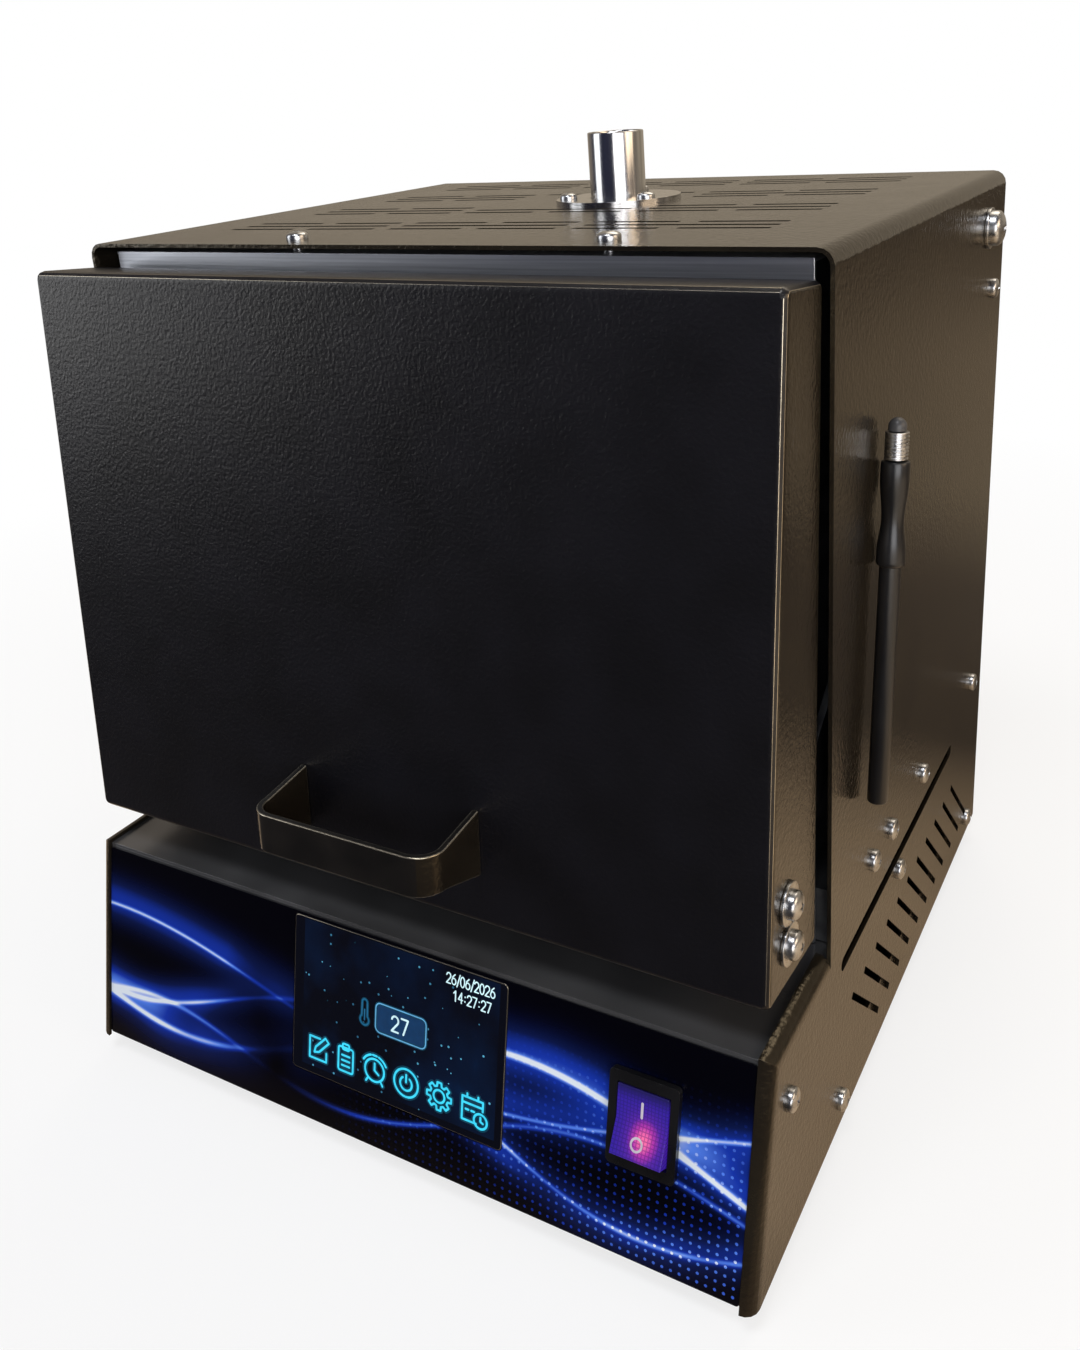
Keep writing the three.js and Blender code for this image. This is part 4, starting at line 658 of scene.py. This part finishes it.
# %% Lathe
def turned(profile, segments=48):
    """Spins a profile of (radius, height) in mm. It starts and ends on the axis, or closes."""
    shape = bmesh.new()
    rings = []
    for radius, height in profile:
        count = 1 if radius == 0 else segments
        turns = [math.tau * i / count for i in range(count)]
        rings.append([shape.verts.new((
            radius * MM * math.cos(turn), radius * MM * math.sin(turn), height * MM,
        )) for turn in turns])
    pairs = list(zip(rings, rings[1:]))
    if profile[0][0] != 0:
        pairs.append((rings[-1], rings[0]))
    for low, high in pairs:
        for i in range(segments):
            a, b = low[i % len(low)], low[(i + 1) % len(low)]
            c, d = high[(i + 1) % len(high)], high[i % len(high)]
            corners = [v for k, v in enumerate((a, b, c, d)) if v not in (a, b, c, d)[:k]]
            if len(corners) > 2:
                shape.faces.new(corners)
    bmesh.ops.recalc_face_normals(shape, faces=shape.faces)
    return shape


def rounded(points, radius):
    """Each inner corner of a profile becomes a small arc, over less than half of each side."""
    steps, most = 3, 0.45
    path = [points[0]]
    for before, corner, after in zip(points, points[1:], points[2:]):
        c = Vector(corner)
        to_before, to_after = Vector(before) - c, Vector(after) - c
        reach = min(radius, to_before.length * most, to_after.length * most)
        start, end = c + to_before.normalized() * reach, c + to_after.normalized() * reach
        for i in range(steps + 1):
            t = i / steps
            path.append(tuple(start * (1 - t) ** 2 + c * 2 * t * (1 - t) + end * t ** 2))
    return path + [points[-1]]


def placed(shape, centre, axis):
    """Z of the shape is turned to the axis, and its origin is put at the centre."""
    turn = Vector((0, 0, 1)).rotation_difference(Vector(axis)).to_matrix().to_4x4()
    bmesh.ops.transform(shape, matrix=Matrix.Translation(Vector(centre)) @ turn, verts=shape.verts)
    return shape


def smooth(made):
    made.data.shade_smooth()
    made.data.set_sharp_from_angle(angle=math.radians(35))
    return made


print("lathe ready")

# %% Pan head with its recess
recess_taper = 0.6


def cross_cut(made, width, reach, foot, depth):
    """Takes a cross recess out of a head that stands along Z."""
    cutter = bmesh.new()
    middle = (foot + depth / 2) * MM
    for size in ((reach, width, depth), (width, reach, depth)):
        block = bmesh.ops.create_cube(cutter, size=1)["verts"]
        bmesh.ops.scale(cutter, vec=[v * MM for v in size], verts=block)
        bmesh.ops.translate(cutter, vec=(0, 0, middle), verts=block)
        for vertex in block:
            if vertex.co.z < middle:
                vertex.co.x *= recess_taper
                vertex.co.y *= recess_taper
    tool = new_object("cutter", cutter, finishes["screw_steel"])
    modifier = made.modifiers.new("recess", "BOOLEAN")
    modifier.operation = "DIFFERENCE"
    modifier.use_self = True
    modifier.object = tool
    baked(made)
    bpy.data.objects.remove(tool)
    return made


def pan_profile(seat, radius, height):
    """A short upright rim, then a dome over the rest of the height."""
    rim = 0.42
    turns = [math.radians(v) for v in (0, 14, 28, 42, 56, 70, 82)]
    dome = [(radius * math.cos(t), seat + height * (rim + (1 - rim) * math.sin(t))) for t in turns]
    return [(radius, seat), *dome, (0, seat + height)]


def screw(name, foot, shank, head, height, washer=None):
    """A pan head screw along Z with its seat at 0, and a washer under the head if it has one."""
    slot_width, slot_reach, slot_foot, washer_edge = 0.24, 0.95, 0.62, 0.2
    profile = [(0, foot), (shank, foot), (shank, 0)]
    seat = 0
    if washer:
        radius, seat = washer
        rim = [(shank, 0), (radius, 0), (radius, seat), (head, seat)]
        profile += rounded(rim, washer_edge)[1:-1]
    profile += pan_profile(seat, head, height)
    made = new_object(name, turned(profile), finishes["screw_steel"])
    return cross_cut(made, head * slot_width, head * slot_reach, seat + height * slot_foot, height)


print("screw helpers ready")

# %% Screws of the top, the flue and the door
def screw_for(node, axis, face, sizes, washer=None):
    """Takes a CAD screw's place: its axis, the face it clamps, its shank, head and height."""
    low, high = (Vector(corner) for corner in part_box(node))
    centre = (low + high) / 2
    along = Vector(axis)
    index = 0 if abs(along.x) > 0.5 else 2
    centre[index] = face * MM
    foot = -abs(face * MM - (low[index] if along[index] > 0 else high[index])) / MM
    made = screw(node + "_fine", foot, *sizes, washer=washer)
    shape = bmesh.new()
    shape.from_mesh(made.data)
    placed(shape, centre, axis)
    shape.to_mesh(made.data)
    shape.free()
    stands_for(smooth(made), node)


roof, flange, casing_side, door_side = 277.9, 1.5, 125, 122.5
top_sizes, flue_sizes = (1.8, 3.3, 2.3), (1.5, 3, 2.2)
pivot_sizes, pivot_washer = (3, 6, 4.6), (7, 1.2)
door_sizes, door_washer = (2, 4, 3.1), (6, 1)
upwards = (0, 0, 1)
for side, sign in (("left", -1), ("right", 1)):
    outward = (sign, 0, 0)
    screw_for(f"top_screw_{side}", upwards, roof, top_sizes)
    screw_for(f"flue_screw_{side}", upwards, roof + flange, flue_sizes)
    screw_for(f"pivot_bolt_{side}", outward, sign * casing_side, pivot_sizes, pivot_washer)
    for place in ("upper", "lower"):
        screw_for(f"door_bolt_{place}_{side}", outward, sign * door_side, door_sizes, door_washer)
screw_for("flue_screw_rear", upwards, roof + flange, flue_sizes)
print("screws", len([n for n in nodes if "screw_" in n or "bolt_" in n]))

# %% [markdown]
# The flue is a polished tube with a thin wall. Its top lip is rounded by the cutting tool,
# and that small radius is where the brightest line sits.

# %% Flue tube
low, high = (Vector(corner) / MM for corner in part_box("flue_tube"))
inner, outer, lip, start = 8.325, 9.525, 0.45, 5
wall = rounded([
    (inner, low.z + start), (inner, low.z), (outer, low.z), (outer, high.z), (inner, high.z),
    (inner, low.z + start + 1),
], lip)
tube = turned(wall[1:-1], 96)
placed(tube, ((low.x + high.x) / 2 * MM, (low.y + high.y) / 2 * MM, 0), upwards)
stands_for(smooth(new_object("flue_tube_fine", tube, finishes["flue_steel"])), "flue_tube")
print("flue", low, high)

# %% [markdown]
# The stylus leans on the side. It is one turned body with a waist for the fingers, a steel
# ferrule with seven fine grooves, and a soft dome. All three share the same axis.

# %% Stylus
stylus_foot = (0.1293, -0.037684, 0.1143)
lean = math.radians(6.3)
stylus_axis = (0, math.sin(lean), math.cos(lean))


def stylus_piece(node, profile, finish):
    shape = placed(turned(profile), stylus_foot, stylus_axis)
    stands_for(smooth(new_object(node + "_fine", shape, finishes[finish])), node)


def eased(low, high, start, end, height):
    """A radius that goes from low to high between two heights, level at both ends."""
    return low + (high - low) * (0.5 - 0.5 * math.cos(math.pi * (height - start) / (end - start)))


thick, thin, grip_foot, waist_foot, waist_top = 4, 3.1, 76.1, 85.1, 97
barrel = [(0, 0), (2.4, 0), (2.8, 0.3), (3, 0.8), (3, 71.8), (3.7, 72.2), (3.98, 72.7),
          (thick, 73.4), (thick, 76)]
grip, waist = [77.5, 79, 80.5, 82, 83.5], [86.5, 88.5, 90.5, 92.5, 94.5, 96]
grip = [(eased(thick, thin, grip_foot, waist_foot, h), h) for h in grip]
waist = [(eased(thin, thick, waist_foot, waist_top, h), h) for h in waist]
crown = [(thick, 97.2), (thick, 100.8), (3.8, 101.4), (3.2, 101.7), (0, 101.7)]
stylus_piece("stylus_body", barrel + grip + [(thin, waist_foot)] + waist + crown, "black_plastic")

wide, edge, foot, top, grooves = 3.25, 3.1, 102, 109.6, 7
step = (top - foot) / (2 * grooves + 1)
ferrule = [(0, foot), (edge, foot), (wide, foot + 0.1)]
for i in range(grooves):
    base = foot + (2 * i + 1) * step
    ferrule += [(wide, base), (edge, base + step * 0.3), (3.08, base + step * 0.6)]
    ferrule += [(wide, base + step)]
ferrule += [(wide, top - 0.1), (edge, top), (0, top)]
stylus_piece("stylus_ferrule", ferrule, "screw_steel")

tip, dome_foot = 2.5, 111
turns = [math.radians(a) for a in range(0, 90, 10)]
dome = [(tip * math.cos(t), dome_foot + tip * math.sin(t)) for t in turns]
stylus_piece("stylus_tip", [(0, 109.9), (tip, 109.9), *dome, (0, dome_foot + tip)], "soft_tip")
print("stylus", dome_foot + tip, "mm long")

# %% [markdown]
# Small screws hold the sheets of the casing along both sides. They are all alike, so Geometry
# Nodes put one head on every point of a small cloud. Each point carries the way it faces, the
# node Align Rotation to Vector turns the head that way, and a seeded random turn keeps the
# recesses from lining up, as on a casing screwed by hand.

# %% Points for the side screws
side_screws = [(181.3, 230.1), (177.8, 72.9), (179.7, 8.4), (101.6, 73.9), (61.8, 75.6),
               (41.4, 76.7), (72.3, 53.2), (-33.6, 49.7), (11.2, 8.8)]
casing_front, casing_foot = -66.784, 8
head = smooth(screw("side_head", 0, 3.4, 3.5, 2.3))
spots = bpy.data.meshes.new("side_screws")
spots.from_pydata([
    (sign * casing_side * MM, (casing_front + y) * MM, (casing_foot + z) * MM)
    for sign in (-1, 1) for y, z in side_screws
], [], [])
facing = spots.attributes.new("outward", "FLOAT_VECTOR", "POINT")
for index in range(len(spots.vertices)):
    facing.data[index].vector = (-1 if index < len(side_screws) else 1, 0, 0)
print("points for heads", len(spots.vertices))

# %% The tree that puts a head on each point
tree, given, result = group("heads_on_points", [
    (label, "NodeSocket" + kind, None) for label, kind in (
        ("Points", "Geometry"), ("Head", "Object"), ("Scale", "Float"), ("Seed", "Int"),
        ("Finish", "Material"),
    )
], [("Mesh", "NodeSocketGeometry")], "GeometryNodeTree")
outward_value = tree.nodes.new("GeometryNodeInputNamedAttribute")
outward_value.data_type = "FLOAT_VECTOR"
outward_value.inputs["Name"].default_value = "outward"
align = tree.nodes.new("FunctionNodeAlignRotationToVector")
align.axis = "Z"
spin = tree.nodes.new("FunctionNodeRandomValue")
spin.inputs[3].default_value = math.tau
turn = tree.nodes.new("ShaderNodeCombineXYZ")
local = tree.nodes.new("FunctionNodeRotateRotation")
local.rotation_space = "LOCAL"
source = tree.nodes.new("GeometryNodeObjectInfo")
spread = tree.nodes.new("GeometryNodeInstanceOnPoints")
real = tree.nodes.new("GeometryNodeRealizeInstances")
coat = tree.nodes.new("GeometryNodeSetMaterial")
for output, socket in (
    (outward_value.outputs["Attribute"], align.inputs["Vector"]),
    (given.outputs["Seed"], spin.inputs["Seed"]),
    (spin.outputs[1], turn.inputs["Z"]),
    (align.outputs["Rotation"], local.inputs["Rotation"]),
    (turn.outputs[0], local.inputs["Rotate By"]),
    (given.outputs["Head"], source.inputs["Object"]),
    (given.outputs["Points"], spread.inputs["Points"]),
    (source.outputs["Geometry"], spread.inputs["Instance"]),
    (local.outputs["Rotation"], spread.inputs["Rotation"]),
    (given.outputs["Scale"], spread.inputs["Scale"]),
    (spread.outputs["Instances"], real.inputs["Geometry"]),
    (real.outputs["Geometry"], coat.inputs["Geometry"]),
    (given.outputs["Finish"], coat.inputs["Material"]),
    (coat.outputs["Geometry"], result.inputs["Mesh"]),
):
    tree.links.new(output, socket)
print("tree", tree.name, len(tree.nodes), "nodes")

# %% Side screws
screws = bpy.data.objects.new("side_screws", spots)
bpy.context.collection.objects.link(screws)
modifier = screws.modifiers.new("heads", "NODES")
modifier.node_group = tree
given = {"Head": head, "Scale": 1.0, "Seed": 7, "Finish": finishes["screw_steel"]}
for item in tree.interface.items_tree:
    if item.name in given:
        modifier[item.identifier] = given[item.name]
baked(screws)
bpy.data.objects.remove(head)
carried(screws, "furnace")
print("side screws", len(screws.data.polygons), "faces")

# %% [markdown]
# The marks on the screen are thin lines of light, like any machine's: a row of six small
# pictures, a thermometer beside a number in a window, and a date over a clock. Each stroke is a
# flat strip with round joints, drawn in the slant's own lengths and laid on the glass. A wider,
# dimmer copy lies under the pictures and the window, as their glow, so that they look lit.

# %% Strokes and curves
def strokes(shape, lines, width):
    """Lines in millimetres (across, up). Each piece of a line is a strip, each point a disc."""
    half, disc_sides = width / 2, 8
    turns = [math.tau * i / disc_sides for i in range(disc_sides)]
    for line in lines:
        outlines = [[(x + half * math.cos(t), y + half * math.sin(t)) for t in turns]
                    for x, y in line]
        for (x0, y0), (x1, y1) in zip(line, line[1:]):
            side = Vector((y0 - y1, x1 - x0)).normalized() * half
            outlines.append([(x0 - side.x, y0 - side.y), (x1 - side.x, y1 - side.y),
                             (x1 + side.x, y1 + side.y), (x0 + side.x, y0 + side.y)])
        for outline in outlines:
            shape.faces.new([shape.verts.new((x, y, 0)) for x, y in outline])
    return shape


def oval(x, y, across, up, start=0, end=360, steps=14):
    turns = [math.radians(start + (end - start) * i / steps) for i in range(steps + 1)]
    return [(x + across * math.cos(t), y + up * math.sin(t)) for t in turns]


def circle(x, y, radius, start=0, end=360, steps=28):
    return oval(x, y, radius, radius, start, end, steps)


def soft_frame(x, y, width, height, corner):
    """A rectangle with round corners, from its lower left corner."""
    line = []
    for turn, (a, b) in enumerate(((1, 1), (0, 1), (0, 0), (1, 0))):
        middle = (x + corner + a * (width - 2 * corner), y + corner + b * (height - 2 * corner))
        line += circle(*middle, corner, turn * 90, turn * 90 + 90, 4)
    return line + line[:1]


print("stroke helpers ready")

# %% Digits
pen_strokes = {
    "0": [oval(0.5, 1, 0.5, 1)],
    "1": [[(0.1, 1.5), (0.55, 2), (0.55, 0)]],
    "2": [oval(0.5, 1.45, 0.5, 0.55, 170, -35, 8) + [(0, 0), (1, 0)]],
    "4": [[(0.72, 0), (0.72, 2), (0, 0.62), (1, 0.62)]],
    "6": [oval(0.5, 0.62, 0.5, 0.62), [(0.02, 0.7), (0.25, 1.5), (0.75, 2)]],
    "7": [[(0, 2), (1, 2), (0.35, 0)]],
    "/": [[(0, -0.2), (0.7, 2.2)]],
    ":": [[(0.3, 0.5), (0.3, 0.6)], [(0.3, 1.4), (0.3, 1.5)]],
}


def number(text, x, y, width, height, gap):
    """The strokes of a text, from its lower left corner."""
    lines, narrow = [], 0.55
    for mark in text:
        for line in pen_strokes[mark]:
            lines.append([(x + a * width, y + b * height / 2) for a, b in line])
        x += width * (narrow if mark in "/:" else 1) + gap
    return lines


print("digits", "".join(pen_strokes))

# %% Laying strokes on the slant
slope_turn = Matrix((Vector((1, 0, 0)), slope_up, slope_out)).transposed().to_4x4()


def on_slant(shape, lift):
    """Millimetres across and up become a place on the slanted front, a little proud of it."""
    start = Matrix.Translation(slope_foot + slope_out * lift * MM)
    bmesh.ops.transform(shape, matrix=start @ slope_turn @ Matrix.Scale(MM, 4), verts=shape.verts)
    return shape


print("slant leans", round(math.degrees(slope_up.angle(Vector(upwards))), 1), "degrees")

# %% Screen icons: notes, sheet, alarm, power, gear and diary
icon_y = 27.2


def moved(middle, *drawn):
    return [[(middle + x, icon_y + y) for x, y in line] for line in drawn]


notes, sheet, alarm, power, gear, diary = -25.1, -13.9, -2.5, 9.6, 21.9, 34.2
tooth = ((-15, 3.3), (-9, 4.5), (9, 4.5), (15, 3.3))
polar = [(reach, math.radians(45 * k + turn)) for k in range(8) for turn, reach in tooth]
teeth = [(reach * math.cos(turn), reach * math.sin(turn)) for reach, turn in polar]
icons = moved(notes, [(0.8, 3.2), (-3.4, 3.2), (-3.4, -4), (3.4, -4), (3.4, -1)],
              [(-1.5, -1.9), (-1, 0), (2.9, 4), (4.3, 2.7), (0.4, -1.4), (-1.5, -1.9)])
icons += moved(sheet, soft_frame(-2.9, -4.4, 5.8, 8, 0.7), soft_frame(-1.3, 2.9, 2.6, 1.9, 0.5),
               *([(-1.5, v), (1.5, v)] for v in (-2.5, -0.8, 0.9)))
icons += moved(alarm, circle(0, 0, 3.7), [(0, 2.3), (0, 0), (1.6, -1.1)],
               [(-2.4, -3), (-3.2, -4.3)], [(2.4, -3), (3.2, -4.3)], circle(0, 0, 5, 108, 150, 5),
               circle(0, 0, 5, 30, 72, 5), [(-0.8, 4.9), (0.8, 4.9)])
icons += moved(power, circle(0, 0, 4.5), circle(0, -0.2, 2.2, 125, 415), [(0, 0.3), (0, 2.7)])
icons += moved(gear, teeth + teeth[:1], circle(0, 0, 2))
icons += moved(diary, [(1.2, -3.9), (-3.9, -3.9), (-3.9, 3.5), (3.4, 3.5), (3.4, 0.6)],
               [(-3.9, 1.6), (3.4, 1.6)], *([(v, 3.5), (v, 4.6)] for v in (-2.2, 1.7)),
               circle(2.7, -2.7, 2.3), [(2.7, -1.4), (2.7, -2.7), (3.6, -3.1)],
               *([(v, -0.4), (v + 1, -0.4)] for v in (-2.6, -0.6)))
print("icon lines", len(icons))

# %% Window, thermometer, date and clock, laid on the glass
glass_face = -0.7
window = soft_frame(-2.7, 40.2, 19, 9.6, 1.8)
gauge = circle(-7, 42.6, 1.7, 130, 410, 14) + circle(-7, 48.4, 1.0, 0, 180, 6)
gauge += gauge[:1]
small = (1.45, 3.2, 0.42)
clock = number("26/06/2026", 23.0, 64.2, *small) + number("14:27:27", 25.6, 59.2, *small)


def screen_layer(name, lines, width, finish, height):
    shape = on_slant(strokes(bmesh.new(), lines, width), glass_face + height)
    carried(new_object(name, shape, finishes[finish]), "furnace")


screen_layer("icon_glow", icons, 1.9, "screen_glow", 0.03)
screen_layer("gauge_and_window_glow", [gauge, window], 1.1, "screen_glow", 0.03)
screen_layer("icon_lines", icons, 0.72, "screen_cyan", 0.06)
screen_layer("window_line", [window], 0.4, "screen_blue", 0.06)
screen_layer("gauge_line", [gauge, [(-7, 42.6), (-7, 46)]], 0.5, "screen_dim", 0.06)
screen_layer("window_number", number("27", 3.5, 42.4, 2.5, 5, 1.1), 0.62, "screen_white", 0.07)
screen_layer("clock_lines", clock, 0.42, "screen_white", 0.07)
pane = bmesh.new()
pane.faces.new([pane.verts.new((x, y, 0)) for x, y in window[:-1]])
pane = new_object("window_pane", on_slant(pane, glass_face + 0.02), finishes["screen_pane"])
carried(pane, "furnace")
print("screen lines", len(icons) + len(clock) + 3)

# %% [markdown]
# The rocker has two slopes, so its bar and ring can't be laid on one plane. They are drawn flat
# in front of it, and every point is then dropped onto its surface along the slant's own outward
# direction. They ride on the rocker, so they tip with it.

# %% Marks on the rocker
def dropped(shape, target, lift):
    mesh, in_front = target.data, slope_out * 0.02
    faces = [face.vertices for face in mesh.polygons]
    surface = BVHTree.FromPolygons([v.co for v in mesh.vertices], faces)
    for vertex in shape.verts:
        hit = surface.ray_cast(vertex.co + in_front, -slope_out)[0]
        if hit is not None:
            vertex.co = hit + slope_out * lift * MM
    return shape


for name, line, width in (
    ("rocker_bar", [(89.8, 50.8), (89.8, 46.6)], 0.75),
    ("rocker_ring", circle(89.5, 39.6, 1.6), 0.6),
):
    shape = dropped(on_slant(strokes(bmesh.new(), [line], width), 0), rocker, 0.06)
    carried(new_object(name, shape, finishes["mark_white"]), "rocker")
    print(name, "laid on the rocker")

# %% [markdown]
# The power inlet is a moulded socket with three flat pins. The pins are blank strips of plated
# brass with rounded ends, and sit in the pocket of the moulding.

# %% Inlet pins
low, high = (Vector(corner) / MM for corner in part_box("power_inlet"))
middle = (low + high) / 2
pin_size, pin_depth = Vector((2, 15, 4)), 10.3
pins = bmesh.new()
for x, z in ((-7, 1.6), (0, -2.6), (7, 1.6)):
    block = bmesh.ops.create_cube(pins, size=1)["verts"]
    centre = Vector((middle.x + x, high.y - pin_depth, middle.z + z))
    bmesh.ops.scale(pins, vec=pin_size * MM, verts=block)
    bmesh.ops.translate(pins, vec=centre * MM, verts=block)
pins = bevelled(new_object("inlet_pins", pins, finishes["screw_steel"]), 0.5, 3)
carried(pins, "furnace")
print("inlet", low, high)

# %% [markdown]
# The floor is one large pale sheet. To the camera it is mostly plain white light, with enough
# of the lit surface mixed in near the furnace to keep its soft shadow. To the paint's mirrored
# rays it shows painted light and shade: warm and bright beside the furnace and dark in front of
# it, so that the paint shows them as painted reflections.

# %% Painted light and shade on the floor, which the paint mirrors
floor_finish, where, shader, place = empty_material("floor_pale")
calc = partial(math_node, where)
to_camera = where.nodes.new("ShaderNodeLightPath").outputs["Is Camera Ray"]
floor_x, floor_y, _ = new_node(where, "ShaderNodeSeparateXYZ", place).outputs
# Bands of painted light and shade along Y, which the paint mirrors as painted reflections.
painted_reflection_bands = colour_stops(where, fading(where, floor_y, -0.5, 1.5), (
    (0.10, (0.045, 0.042, 0.045)), (0.165, (0.055, 0.05, 0.048)), (0.205, (0.78, 0.60, 0.41)),
    (0.28, (0.72, 0.56, 0.38)), (0.35, (0.09, 0.075, 0.06)), (0.45, (0.12, 0.10, 0.08)),
    (0.54, (0.30, 0.25, 0.18)), (0.80, (0.40, 0.33, 0.24)),
))
# A bright warm patch beside the furnace: painted light for the side's reflection.
painted_bright_patch = calc("MULTIPLY", fading(where, floor_x, 0.29, 0.42),
                 fading(where, floor_y, 0.35, -0.1))


def mixed_colour(factor, low, high):
    """Low where the factor is 0, high where it is 1. Inputs 6 and 7 of a Mix are its colours."""
    node = where.nodes.new("ShaderNodeMix")
    node.data_type = "RGBA"
    for index, value in ((0, factor), (6, low), (7, (*high, 1))):
        feed(where, value, node.inputs[index])
    return node.outputs[2]


bench_with_painted_light = mixed_colour(painted_bright_patch, painted_reflection_bands, (1.0, 0.88, 0.70))
seen_floor = mixed_colour(to_camera, bench_with_painted_light, (0.9, 0.9, 0.9))
fill(where, shader, Base_Color=seen_floor, Roughness=0.8, Specular_IOR_Level=0)
print("painted_reflection_bands", len(where.nodes), "nodes")

# %% Floor
near_white, far_white = 0.75, 0.25
white = new_node(where, "ShaderNodeEmission", Color=(1, 1, 1, 1))
distance = new_node(where, "ShaderNodeVectorMath", place)
distance.operation = "LENGTH"
far_share = calc("MULTIPLY", fading(where, distance.outputs["Value"], 0.25, 0.75), far_white)
whiteness = calc("MULTIPLY", calc("ADD", far_share, near_white), to_camera)
mixed = new_node(where, "ShaderNodeMixShader", whiteness, shader.outputs[0], white.outputs[0])
fill(where, where.nodes["Material Output"], Surface=mixed.outputs[0])
shape = bmesh.new()
bmesh.ops.create_grid(shape, x_segments=1, y_segments=1, size=4)
floor = new_object("floor", shape, floor_finish)
print("floor", floor.name)
